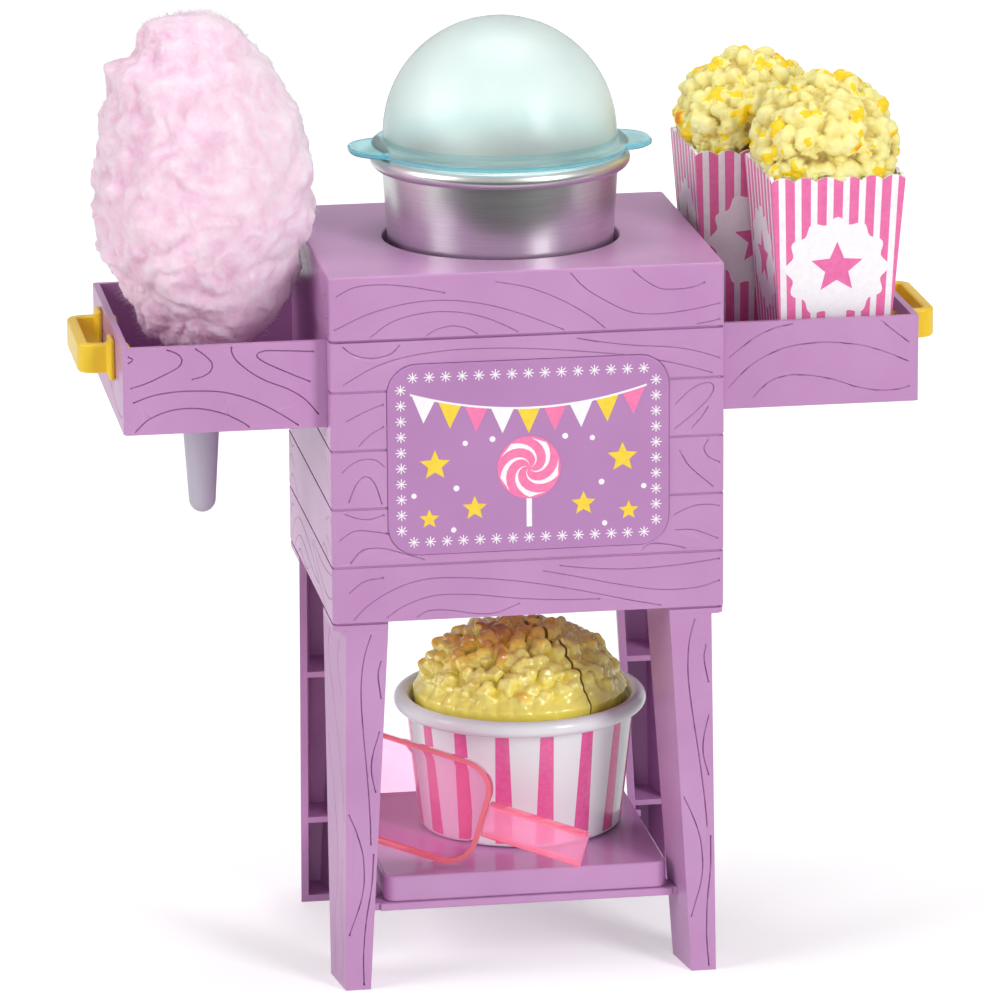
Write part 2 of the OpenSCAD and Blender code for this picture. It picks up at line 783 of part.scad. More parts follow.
wedge_to = wedge_from + wedge_angle;
// Shift along the wedge's middle that opens the gap on both of its sides
wedge_shift = wedge_gap / sin(wedge_angle / 2);

module popcorn_heap() {
    color(corn) translate([tub_x, tub_y, 0])
        sector(heap_rings, round((360 - wedge_angle) / heap_step), wedge_to, wedge_from + 360, heap_tip,
            function(i, a) heap_at(i, a));
}

module popcorn_wedge() {
    middle = wedge_from + wedge_angle / 2;
    scale_in = (heap_foot_r - wedge_shift) / heap_foot_r;
    color(corn) translate([tub_x + wedge_shift * cos(middle), tub_y + wedge_shift * sin(middle), 0])
        sector(heap_rings, round(wedge_angle / heap_step), wedge_from, wedge_to, heap_tip,
            function(i, a) let (p = heap_at(i, a)) [p[0] * scale_in, p[1] * scale_in, p[2]]);
}

// Scoop

// Blade outline in its own plane, with the mouth to the left and the rounded back end at the origin
module blade(inset) {
    w = blade_w - 2 * inset;
    r = blade_r - inset;
    translate([-blade_l - inset, -w / 2]) square([blade_l - r, w]);
    translate([-blade_l, r - w / 2]) square([blade_l - inset, w - 2 * r]);
    for (y = [-1, 1]) translate([-inset - r, y * (w / 2 - r)]) circle(r);
}

// Scoop lying in the plane z = 0 with its hollow upwards
module scoop_flat() {
    difference() {
        union() {
            translate([0, 0, -blade_d]) linear_extrude(blade_d) blade(0);
            translate([-scoop_wall / 2, -shaft_w / 2, -shaft_t])
                cube([shaft_l + scoop_wall / 2, shaft_w, shaft_t]);
        }
        translate([0, 0, scoop_wall - blade_d]) linear_extrude(blade_d) blade(scoop_wall);
        translate([scoop_wall, scoop_wall - shaft_w / 2, -shaft_t - past])
            cube([shaft_l - 2 * scoop_wall, shaft_w - 2 * scoop_wall, shaft_t - scoop_wall + past]);
    }
}

// Height of the blade's middle at which its lower edge rests on the shelf panel
scoop_up = (blade_w / 2 - blade_r) * cos(scoop_tilt) + blade_r * (1 - sin(scoop_tilt));
// Height at which the handle's lower corner rests there
shaft_up = shaft_l * sin(scoop_tilt) + shaft_w / 2 * cos(scoop_tilt);
scoop_z = shelf_top + seat_gap + max(scoop_up, shaft_up);

module scoop() {
    color("#f08cb4") translate([scoop_x, scoop_in - shelf_d / 2, scoop_z])
        rotate([0, 0, scoop_yaw]) rotate([0, scoop_tilt, 0]) rotate([90, 0, 0]) scoop_flat();
}

// Cotton candy

floss_z = drawer_floor + floss_up;
floss_rings = 22;
floss_steps = 40;
// Share of the largest radius at height h above the floss's lower end
function floss_share(h) =
    h > floss_belly
        ? pow(1 - pow((h - floss_belly) / (floss_h - floss_belly), 2.3), 0.55)
        : pow(1 - pow((floss_belly - h) / (floss_belly + past), 1.6), 0.42);
// The floss stands clear of the counter's side, and may swell over its top
candy_x = -half_w - floss_gap - floss_lump - floss_r * floss_share(min(floss_belly, top_z - floss_z));
function floss_wave(a, i) = (sin(5 * a + 75 * i) + sin(8 * a - 57 * i) + sin(3 * a + 120 * i)) / 3;
function floss_at(i, a) =
    let (h = floss_h * i / floss_rings, r = floss_r * floss_share(h) + floss_lump * floss_wave(a, i))
    [r * cos(a), r * sin(a), floss_z + h];

module candy_cone() {
    tip_z = drawer_floor - cone_drop + cone_tip_r;
    grow = (cone_r - cone_tip_r) / (drawer_floor - tip_z);
    color("#e6e4f0") translate([candy_x, 0, tip_z]) {
        cylinder(r1 = cone_tip_r, r2 = cone_r + grow * cone_rise, h = drawer_floor + cone_rise - tip_z);
        sphere(cone_tip_r);
    }
}

module candy_floss() {
    color("#f4c8de") translate([candy_x, 0, 0])
        crown(floss_rings, floss_steps, floss_z + floss_h, function(i, a) floss_at(i, a));
}

// Popcorn boxes

rim_w = box_w + box_flare;
// The two boxes share the drawer's depth
rim_d = (drawer_d - 2 * drawer_wall - front_side_gap - box_gap + rear_over) / 2;
box_d = rim_d - box_flare;
front_box_x = drawer_end - drawer_wall - front_end_gap - rim_w / 2;
front_box_y = drawer_wall + front_side_gap + rim_d / 2 - drawer_d / 2;
rear_box_x = half_w + rear_gap + rim_w / 2;
rear_box_y = front_box_y + rim_d + box_gap;

// Plan of a box at height h above its foot, drawn in by inset
function box_ring(h, inset, z) =
    let (
        grow = box_flare * h / box_h,
        x = (box_w + grow) / 2 - inset,
        y = (box_d + grow) / 2 - inset
    )
    [[x, -y, z], [-x, -y, z], [-x, y, z], [x, y, z]];

module box_shell() {
    difference() {
        loft(box_ring(0, 0, 0), box_ring(box_h, 0, box_h));
        loft(box_ring(box_wall, box_wall, box_wall), box_ring(box_h + past, box_wall, box_h + past));
    }
}

corn_rings = 10;
corn_steps = 36;
corn_lumps = 11;
corn_r = min(rim_w, rim_d) / 2 + corn_bulge;
// Turn of ring i up the heap, from below its widest place to its top
function corn_turn(i) = (90 + corn_under) * (i - 1) / corn_rings - corn_under;
function corn_up(i) = corn_h * (sin(corn_turn(i)) + sin(corn_under)) / (1 + sin(corn_under));
// Rings 0 and 1 fill the box's squared mouth, and those above swell into a round heap
function corn_in_box(a, h) =
    let (mouth = box_ring(h, box_wall + seat_gap, h)[0], share = squared(a, 8))
    [mouth[0] * share * cos(a), -mouth[1] * share * sin(a), h];
function corn_at(i, a) =
    i < 2 ? corn_in_box(a, box_h - corn_sink * (1 - i)) :
    let (r = corn_r * cos(corn_turn(i)) - corn_lump * (1 - kernel(i, a, corn_lumps)))
    [r * cos(a), r * sin(a), box_h + corn_up(i)];

module box_corn() {
    crown(corn_rings, corn_steps, box_h + corn_h, function(i, a) corn_at(i, a));
}

module at_front_box() { translate([front_box_x, front_box_y, box_z]) children(); }
module at_rear_box() { translate([rear_box_x, rear_box_y, box_z]) children(); }

module front_box() { color("#f078b4") at_front_box() box_shell(); }
module front_box_popcorn() { color(corn) at_front_box() box_corn(); }
module rear_box() { color("#f078b4") at_rear_box() box_shell(); }
module rear_box_popcorn() { color(corn) at_rear_box() box_corn(); }

front_left_leg();
front_right_leg();
rear_left_leg();
rear_right_leg();
base_plate();
leg_screws();
shelf_ledge();
shelf_panel();
cabinet_shell();
sign_panel();
drawer_deck();
counter_top();
counter_screws();
left_drawer();
left_handle();
right_drawer();
right_handle();
pot();
dome_lid();
popcorn_tub();
popcorn_heap();
popcorn_wedge();
scoop();
candy_cone();
candy_floss();
front_box();
front_box_popcorn();
rear_box();
rear_box_popcorn();
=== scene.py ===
import math
import random

import bmesh
import bpy
import numpy as np
from mathutils import Matrix, Vector, noise


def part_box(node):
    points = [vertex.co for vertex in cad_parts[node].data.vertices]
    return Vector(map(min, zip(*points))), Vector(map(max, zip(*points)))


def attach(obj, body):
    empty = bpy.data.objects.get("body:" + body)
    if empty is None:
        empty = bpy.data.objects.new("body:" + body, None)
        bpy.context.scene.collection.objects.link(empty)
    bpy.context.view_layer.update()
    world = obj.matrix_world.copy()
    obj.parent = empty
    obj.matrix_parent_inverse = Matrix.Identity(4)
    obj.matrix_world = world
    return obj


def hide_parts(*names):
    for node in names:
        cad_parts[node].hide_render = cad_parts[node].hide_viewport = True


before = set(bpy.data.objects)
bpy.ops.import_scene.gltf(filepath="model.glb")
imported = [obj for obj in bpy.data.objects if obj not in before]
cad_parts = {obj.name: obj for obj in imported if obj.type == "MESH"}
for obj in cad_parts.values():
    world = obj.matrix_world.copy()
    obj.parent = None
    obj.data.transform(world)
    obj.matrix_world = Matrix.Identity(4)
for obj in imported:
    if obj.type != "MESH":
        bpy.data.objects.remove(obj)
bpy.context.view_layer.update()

mm = 0.001
turn = 2 * math.pi
noise.seed_set(7)  # without it the floss twists another way in each run
scene = bpy.context.scene


def toLinear(hexColour):
    channels = [int(hexColour[i:i + 2], 16) / 255 for i in (1, 3, 5)]
    return [c / 12.92 if c <= 0.04045 else ((c + 0.055) / 1.055) ** 2.4 for c in channels] + [1]


# adds a shader node; a node or socket given as an input is linked, anything else is set
def addNode(tree, kind, inputs, stops=None, **settings):
    node = tree.nodes.new("ShaderNode" + kind)
    for key, value in settings.items():
        setattr(node, key, value)
    for key, value in inputs.items():
        if isinstance(value, bpy.types.Node):
            value = value.outputs[0]
        if isinstance(value, bpy.types.NodeSocket):
            tree.links.new(value, node.inputs[key])
        else:
            node.inputs[key].default_value = value
    if stops:
        ramp = node.color_ramp.elements
        ramp[0].position, ramp[-1].position = stops[0][0], stops[-1][0]
        for place, _ in stops[1:-1]:
            ramp.new(place)
        for element, (_, colour) in zip(ramp, stops):
            element.color = toLinear(colour)
    return node


# Materials

def startMaterial(name):
    material = bpy.data.materials.new(name)
    material.use_nodes = True
    tree = material.node_tree
    tree.nodes.clear()
    return material, tree, addNode(tree, "TexCoord", {}).outputs["Object"]


def finishMaterial(tree, **sockets):
    shader = addNode(tree, "BsdfPrincipled", {key.replace("_", " "): value for key, value in sockets.items()})
    addNode(tree, "OutputMaterial", {"Surface": shader})


# colour that clouds from deep to pale, with the gloss and relief of a grit; cloud and grit are (mm, detail)
def mottled(name, deepHex, paleHex, roughness, cloud, grit=None, relief=None, swing=0.05, edges=(0.3, 0.7),
            **sockets):
    material, tree, place = startMaterial(name)
    noises = [addNode(tree, "TexNoise", {"Vector": place, "Scale": 1 / (size * mm), "Detail": detail})
              for size, detail in ((cloud, grit) if grit else (cloud,))]
    clouds, fine = noises[0], noises[-1]
    sockets["Base_Color"] = addNode(tree, "ValToRGB", {"Fac": clouds}, list(zip(edges, (deepHex, paleHex))))
    sockets["Roughness"] = roughness
    if swing:
        sockets["Roughness"] = addNode(tree, "MapRange", {
            "Value": fine, "To Min": roughness - swing, "To Max": roughness + swing})
    if relief:
        sockets["Normal"] = addNode(tree, "Bump", {
            "Height": fine, "Strength": relief[0], "Distance": relief[1] * mm})
    finishMaterial(tree, **sockets)
    return material


# injection-moulded ABS: even satin colour with a faint cloudiness, and a soft grit in the gloss,
# which is drawn at 0.9 mm because the real 0.1 mm texture is too fine to show
def mouldedAbs(name, paleHex, deepHex, roughness):
    return mottled(name, deepHex, paleHex, roughness, (30, 2), (0.9, 3), (0.06, 0.05),
                   IOR=1.54, Specular_IOR_Level=0.35)


# screen-printed ink: flat colour, a little drier than the plastic, with the mesh of the screen in it
def screenInk(name, paleHex, deepHex, roughness=0.42):
    return mottled(name, deepHex, paleHex, roughness, (1.6, 3), edges=(0.35, 0.65), IOR=1.5)


# spun aluminium, satin finished: soft blurred reflections drawn out by fine rings round the pot,
# which are drawn at 0.6 mm so that they show
def spunAluminium(name, deepHex, paleHex, roughness):
    material, tree, place = startMaterial(name)
    stretch = addNode(tree, "Mapping", {"Vector": place, "Scale": (60, 60, 1 / (0.6 * mm))})
    rings = addNode(tree, "TexNoise", {"Vector": stretch, "Scale": 1, "Detail": 2})
    grit = addNode(tree, "TexNoise", {"Vector": place, "Scale": 1 / (0.5 * mm), "Detail": 2})
    finishMaterial(
        tree, Metallic=1,
        Base_Color=addNode(tree, "ValToRGB", {"Fac": rings}, [(0.3, deepHex), (0.7, paleHex)]),
        Roughness=addNode(tree, "MapRange", {
            "Value": grit, "To Min": roughness - 0.05, "To Max": roughness + 0.05}),
        Normal=addNode(tree, "Bump", {"Height": grit, "Strength": 0.12, "Distance": 0.04 * mm}))
    return material


# clear moulded polystyrene with a tint: light passes through it, and a hazy grade is blurred by roughness;
# the walls are thin, so the IOR is under the real 1.59 to keep what lies behind them in place
def tintedPolystyrene(name, paleHex, deepHex, roughness, transmission, coat, coatRoughness=0.06):
    return mottled(name, deepHex, paleHex, roughness, (18, 2), swing=0.1 * roughness, IOR=1.18,
                   Transmission_Weight=transmission, Coat_Weight=coat, Coat_Roughness=coatRoughness)


# painted cast resin: the tint of each vertex runs through the paint colours, over a fine crackle; where a heap
# lowers it in clefts, the tint also carries painted shade
def paintedResin(name, stops, roughness, coat):
    material, tree, place = startMaterial(name)
    tint = addNode(tree, "Attribute", {}, attribute_name="tint").outputs["Fac"]
    speck = addNode(tree, "TexNoise", {"Vector": place, "Scale": 1 / (1.4 * mm), "Detail": 4})
    mixed = addNode(tree, "Math", {0: speck, 1: 0.24, 2: tint}, operation="MULTIPLY_ADD")
    finishMaterial(
        tree, IOR=1.5, Coat_Weight=coat, Coat_Roughness=0.12,
        Subsurface_Weight=0.35, Subsurface_Scale=2.5 * mm, Subsurface_Radius=(1, 0.8, 0.3),
        Base_Color=addNode(tree, "ValToRGB", {"Fac": mixed}, stops),
        Roughness=addNode(tree, "MapRange", {
            "Value": speck, "To Min": roughness - 0.08, "To Max": roughness + 0.08}),
        Normal=addNode(tree, "Bump", {"Height": speck, "Strength": 0.45, "Distance": 0.3 * mm}))
    return material


# teased polyester fibre: matte, with a pale halo at grazing angles and wispy streaks of deeper pink; the tint
# attribute lowers the ramp into deeper pink as painted shade
def teasedFibre(name, *tones):
    material, tree, place = startMaterial(name)
    wisp = addNode(tree, "TexNoise", {"Vector": place, "Scale": 1 / (7 * mm), "Detail": 6, "Roughness": 0.6})
    paintedShade = addNode(tree, "Attribute", {}, attribute_name="tint").outputs["Fac"]
    shade = addNode(tree, "Math", {0: paintedShade, 1: -0.4, 2: wisp}, operation="MULTIPLY_ADD")
    finishMaterial(
        tree, Roughness=0.9, Sheen_Weight=0.2, Sheen_Roughness=0.5, Sheen_Tint=toLinear("#FFF2FA"),
        Subsurface_Weight=0.75, Subsurface_Scale=5 * mm, Subsurface_Radius=(1, 0.6, 0.8),
        Base_Color=addNode(tree, "ValToRGB", {"Fac": shade}, list(zip((0.05, 0.3, 0.5, 0.7), tones))),
        Normal=addNode(tree, "Bump", {"Height": wisp, "Strength": 0.5, "Distance": 0.9 * mm}))
    return material


purpleAbs = mouldedAbs("purpleAbs", "#C694C3", "#BF8BBC", 0.3)
glossyPurple = mouldedAbs("purpleAbsPolished", "#C694C3", "#BF8BBC", 0.15)
signAbs = mouldedAbs("signAbs", "#BB87BC", "#B581B6", 0.36)
yellowAbs = mouldedAbs("yellowAbs", "#FAD338", "#F5CA2A", 0.3)
whitePlastic = mouldedAbs("whitePolypropylene", "#E9EAEC", "#E4E5E8", 0.16)
# the cone's pale grey-lilac is darkened as painted shade from the drawer above it
conePlastic = mouldedAbs("shadedPaleConePolypropylene", "#BDB7C6", "#B6B0BF", 0.35)
pinkInk = screenInk("pinkInk", "#F077B0", "#EA6CA8")
tubInk = screenInk("tubPinkInk", "#E868A4", "#E05E9A", 0.18)
whiteInk = screenInk("whiteInk", "#FBF8FB", "#F6F2F6")
yellowInk = screenInk("yellowInk", "#FBDA42", "#F6D238")
signPinkInk = screenInk("signPinkInk", "#FA82B4", "#F47AAC")
potMetal = spunAluminium("spunAluminium", "#D6D9D8", "#E2E4E3", 0.31)
# the pot's inside is a darker copy of the spun metal: painted shade under the dome
potInside = spunAluminium("shadedPotInsideAluminium", "#737876", "#7F8482", 0.55)
# zinc-plated steel: grey metal with a faintly uneven shine
screwSteel = mottled("platedSteel", "#A9A9AD", "#C4C4C8", 0.325, (2, 2), swing=0.075, Metallic=1)
# bleached paper card: matte white with a faint fibre cloud
card = mottled("bleachedCard", "#F0EBF0", "#FAF7FA", 0.6, (2.5, 4), relief=(0.05, 0.1), swing=0)
hazyTeal = tintedPolystyrene("hazyTealPolystyrene", "#E4EBE9", "#DCE6E4", 0.38, 0.84, 0.25, 0.26)
flangeTeal = tintedPolystyrene("tealPolystyreneFlange", "#B9DDDD", "#ADD6D7", 0.36, 0.7, 0.4, 0.2)
tealEdge = tintedPolystyrene("tealPolystyreneEdge", "#80CAD8", "#72BFD0", 0.2, 0.4, 0.6)
clearPink = tintedPolystyrene("clearPinkPolystyrene", "#F5C0DA", "#F2B6D3", 0.05, 0.94, 0.12)
thickPink = tintedPolystyrene("thickPinkPolystyrene", "#FBB4D4", "#F8AACD", 0.1, 0.68, 0.5)
coralEdge = tintedPolystyrene("coralPolystyreneEdge", "#F8808E", "#F47284", 0.12, 0.22, 0.3)
# its darkest stops are reached only in the clefts, as painted shade
boxResin = paintedResin("matteCastResin", [
    (0.05, "#8E6E2C"), (0.24, "#D3BC62"), (0.42, "#F2E48C"), (0.58, "#F8F0AC"), (0.66, "#FEDC1E"),
    (0.82, "#FACE12"), (0.92, "#EFA026"), (1.0, "#DE862C")], 0.55, 0)
tubResin = paintedResin("glazedCastResin", [
    (0.05, "#F0DC54"), (0.25, "#FBE868"), (0.46, "#FDEF88"), (0.62, "#FFD858"), (0.8, "#E2AA54"),
    (1.0, "#B87C40")], 0.22, 0.7)
# the flat cut faces are painted dark brown: painted shade of the narrow slit between heap and wedge
slitShadeResin = paintedResin("slitShadeCutResin", [(0.1, "#9A752C"), (0.9, "#B8903A")], 0.5, 0)
# the first, deepest tone is reached only through painted shade, in creases, on the left side and towards the
# foot
candyFibre = teasedFibre("teasedFibre", "#E3A6C7", "#F0CADF", "#F5DAE8", "#F8E4EE")
# a paler copy of the fibre for the loose strands: painted light, so that the thin strands do not look grey in
# their own shade
looseFibre = teasedFibre("looseFibre", "#F2D2E3", "#F6E2EE", "#F9EAF3", "#FBF1F7")
print("materials done")


# Camera, floor and light

# each lamp has its place, width, height and watts
studio = {
    "cameraPlace": (-0.33186, -2.10067, 0.71302),
    "cameraHeading": -8.958, "cameraTilt": 75.187, "cameraRoll": -0.372, "lens": 236.1,
    "keyLamp": ((1.15, -1.75, 1.1), 0.6, 1.2, 27),
    "sideLamp": ((-1.9, -0.5, 1.1), 1.2, 1.2, 22),
    "topLamp": ((0.1, 0.3, 1.9), 1.2, 1.2, 14),
    "fillLamp": ((-0.3, -2.2, 0.4), 1.2, 0.6, 8),
    "lampsAim": (0, 0, 0.15),
    "skyStrength": 0.1, "mirroredSky": 0.55, "floorMirrored": 0.45,
    "floorLift": (0.42, 0.85), "liftFrom": (0.2, 1.5), "frontEdge": (-0.16, -0.4),
}


def addObject(name, data):
    thing = bpy.data.objects.new(name, data)
    scene.collection.objects.link(thing)
    return thing


def turned(degrees, axis):
    return Matrix.Rotation(math.radians(degrees), 4, axis)


camera = addObject("camera", bpy.data.cameras.new("camera"))
camera.data.lens = studio["lens"]
camera.data.sensor_width = 36
camera.matrix_world = (Matrix.Translation(studio["cameraPlace"]) @ turned(studio["cameraHeading"], "Z")
                       @ turned(studio["cameraTilt"], "X") @ turned(studio["cameraRoll"], "Z"))
scene.camera = camera
scene.view_settings.view_transform = "Standard"

for name in ("keyLamp", "sideLamp", "topLamp", "fillLamp"):
    lamp = addObject(name, bpy.data.lights.new(name, "AREA"))
    lamp.data.shape = "RECTANGLE"
    lamp.location, lamp.data.size, lamp.data.size_y, lamp.data.energy = studio[name]
    lamp.rotation_euler = (Vector(studio["lampsAim"]) - lamp.location).to_track_quat("-Z", "Y").to_euler()
lamp.visible_glossy = False  # the low fill is a bounce card, so the metal does not mirror it

# sky: soft light on the object, plain white where it is seen or looked at through plastic, and dimmer in mirrors
world = bpy.data.worlds.new("studioSky")
scene.world = world
world.use_nodes = True
sky = world.node_tree
sky.nodes.clear()
rays = addNode(sky, "LightPath", {}).outputs
seen = addNode(sky, "Math", {0: rays["Is Camera Ray"], 1: rays["Is Transmission Ray"]}, operation="MAXIMUM")
dim = addNode(sky, "MapRange", {
    "Value": rays["Is Glossy Ray"], "To Min": studio["skyStrength"], "To Max": studio["mirroredSky"]})
level = addNode(sky, "Math", {0: seen, 1: dim}, operation="MAXIMUM")
glow = addNode(sky, "Background", {"Color": toLinear("#FFFFFF"), "Strength": level})
addNode(sky, "OutputWorld", {"Surface": glow})

# paper sweep: white where it is lit, and it keeps the soft shadow of the stand; in mirrors it ends in front of
# the stand, so that the pot has a dark middle
sweep, tree, place = startMaterial("whitePaperSweep")
rays = addNode(tree, "LightPath", {}).outputs
depth = addNode(tree, "SeparateXYZ", {0: place}).outputs[1]
front = addNode(tree, "MapRange", {
    "Value": depth, "From Min": studio["frontEdge"][0], "From Max": studio["frontEdge"][1]})
hidden = addNode(tree, "Math", {0: rays["Is Glossy Ray"], 1: front}, operation="MULTIPLY")
paper = addNode(tree, "ValToRGB", {"Fac": hidden}, [(0, "#F0F0F0"), (1, "#484646")])
seen = addNode(tree, "Math", {0: rays["Is Camera Ray"], 1: rays["Is Transmission Ray"]}, operation="MAXIMUM")
mirrored = addNode(tree, "Math", {0: rays["Is Glossy Ray"], 1: hidden}, operation="SUBTRACT")
dim = addNode(tree, "Math", {0: mirrored, 1: studio["floorMirrored"]}, operation="MULTIPLY")
far = addNode(tree, "MapRange", {
    "Value": depth, "From Min": studio["liftFrom"][0], "From Max": studio["liftFrom"][1],
    "To Min": studio["floorLift"][0], "To Max": studio["floorLift"][1]})
lift = addNode(tree, "Math", {0: seen, 1: far, 2: dim}, operation="MULTIPLY_ADD")
finishMaterial(tree, Roughness=0.9, Base_Color=paper, Emission_Color=toLinear("#FFFFFF"),
               Emission_Strength=lift)
floorMesh = bpy.data.meshes.new("floor")
floorMesh.from_pydata([(-6, -4, 0), (6, -4, 0), (6, 8, 0), (-6, 8, 0)], [], [(0, 1, 2, 3)])
floorMesh.materials.append(sweep)
addObject("floor", floorMesh)
print("camera, floor and light done")


# Shared ways of making pieces; points are in millimetres

def makePiece(name, points, faces, body, slotName, materials, sharpest=40, standsFor=None):
    mesh = bpy.data.meshes.new(name)
    mesh.from_pydata([Vector(p) * mm for p in points], [], faces)
    return dressMesh(name, mesh, body, materials, sharpest, standsFor)


def dressMesh(name, mesh, body, materials, sharpest=40, standsFor=None):
    mesh.validate()
    mesh.shade_smooth()
    mesh.set_sharp_from_angle(angle=math.radians(sharpest))
    for material in materials:
        mesh.materials.append(material)
    piece = addObject(name, mesh)
    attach(piece, body)
    if standsFor:
        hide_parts(standsFor)
    return piece


def boxOf(nodeName):
    low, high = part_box(nodeName)
    return Vector(low) / mm, Vector(high) / mm


def polar(centre, radius, a):
    return centre[0] + radius * math.cos(a), centre[1] + radius * math.sin(a)


def arc(centre, radius, start, end, steps):
    return [polar(centre, radius, math.radians(start + (end - start) * k / steps)) for k in range(steps + 1)]


def shifted(points, place):
    return [(x + place[0], y + place[1], z + place[2]) for x, y, z in points]


# quads between rows of points that lie one after another
def rowFaces(rows, steps, closed=True, first=0):
    starts = range(first, first + (rows - 1) * steps, steps)
    return [(a + k, a + (k + 1) % steps, a + steps + (k + 1) % steps, a + steps + k)
            for a in starts for k in range(steps if closed else steps - 1)]


latheSteps = 144


# solid of revolution round Z from (radius, height) points that run from the axis out, up and back to it
def lathe(profile, steps=latheSteps, angle=None):
    points, rows = [], []
    for row, (r, z) in enumerate(profile):
        if r < 1e-6:
            rows.append([len(points)] * steps)
            points.append((0, 0, z))
        else:
            rows.append([len(points) + k for k in range(steps)])
            angles = [angle(row, k) if angle else turn * k / steps for k in range(steps)]
            points += [(*polar((0, 0), r, a), z) for a in angles]
    faces = []
    for low, high in zip(rows, rows[1:]):
        for k in range(steps):
            n = (k + 1) % steps
            corners = list(dict.fromkeys([low[k], low[n], high[n], high[k]]))
            if len(corners) > 2:
                faces.append(corners)
    return points, faces


# gives some rows of a lathed piece another of its materials
def paintRows(piece, start, end, index):
    for face in piece.data.polygons:
        if start <= face.index // latheSteps < end:
            face.material_index = index


# copy of a CAD solid with its edges rounded as a mould leaves them; each pass is a radius and an edge test
def roundedCopy(nodeName, *passes):
    shape = bmesh.new()
    shape.from_mesh(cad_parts[nodeName].data)
    bmesh.ops.remove_doubles(shape, verts=shape.verts, dist=0.003 * mm)
    bmesh.ops.dissolve_limit(shape, angle_limit=math.radians(0.5), verts=shape.verts, edges=shape.edges)
    for radius, wanted in passes:
        edges = [e for e in shape.edges if len(e.link_faces) == 2
                 and e.calc_face_angle() > math.radians(40) and wanted(e)]
        bmesh.ops.bevel(shape, geom=edges, offset=radius * mm, segments=3, profile=0.5, affect="EDGES",
                        clamp_overlap=True)
    bmesh.ops.triangulate(shape, faces=[f for f in shape.faces if len(f.verts) > 4])
    return meshFrom(shape, nodeName)


def meshFrom(shape, name):
    mesh = bpy.data.meshes.new(name)
    shape.to_mesh(mesh)
    shape.free()
    return mesh


def anyEdge(edge):
    return True


def addMoulding(nodeName, mesh, body="stand", material=purpleAbs, name=None):
    piece = dressMesh(name or nodeName + "Moulding", mesh, body, [material], 35, nodeName)
    piece.modifiers.new("flatFaces", "WEIGHTED_NORMAL").keep_sharp = True


# smooth curve through given points
def throughPoints(points, step=1.3):
    points = [Vector(p) for p in points]
    ends = [2 * points[0] - points[1]] + points + [2 * points[-1] - points[-2]]
    curve = []
    for a, b, c, d in zip(ends, ends[1:], ends[2:], ends[3:]):
        pieces = max(2, round((c - b).length / step))
        for k in range(pieces):
            t = k / pieces
            curve.append(0.5 * (2 * b + (c - a) * t + (2 * a - 5 * b + 4 * c - d) * t * t
                                + (3 * b - a - 3 * c + d) * t ** 3))
    return curve + [points[-1]]


grainCut = {"halfWidth": 0.25, "depth": 0.8, "above": 0.5, "dot": 1.4, "drawnWide": 130}


# cuts grain lines into a mesh; each line is a list of points on a face and that face's outward normal
def carve(mesh, lines):
    points, faces = [], []
    for line, normal in lines:
        curve = throughPoints(line)
        first = len(points)
        for i, p in enumerate(curve):
            ahead = curve[min(i + 1, len(curve) - 1)] - curve[max(i - 1, 0)]
            side = normal.cross(ahead).normalized()
            grow = grainCut["dot"] if i in (0, len(curve) - 1) else 1
            across = side * grainCut["halfWidth"] * grow
            points += [p + across, p + normal * grainCut["above"], p - across,
                       p - normal * grainCut["depth"] * grow]
        faces += rowFaces(len(curve), 4, first=first)
        last = first + 4 * (len(curve) - 1)
        faces += [(first + 3, first + 2, first + 1, first), (last, last + 1, last + 2, last + 3)]
    knife = bpy.data.meshes.new("grainKnife")
    knife.from_pydata([p * mm for p in points], [], faces)
    shape = bmesh.new()
    shape.from_mesh(knife)
    bmesh.ops.recalc_face_normals(shape, faces=shape.faces)
    shape.to_mesh(knife)
    shape.free()
    blade, block = addObject("grainKnife", knife), addObject("grainBlock", mesh)
    cut = block.modifiers.new("cut", "BOOLEAN")
    cut.operation, cut.solver, cut.object = "DIFFERENCE", "MANIFOLD", blade
    bpy.context.view_layer.update()
    carved = bpy.data.meshes.new_from_object(block.evaluated_get(bpy.context.evaluated_depsgraph_get()))
    for thing in (blade, block):
        bpy.data.objects.remove(thing)
    carved.materials.clear()
    return carved


# Wood grain, drawn on each face as (along, up) millimetres from its lower left corner

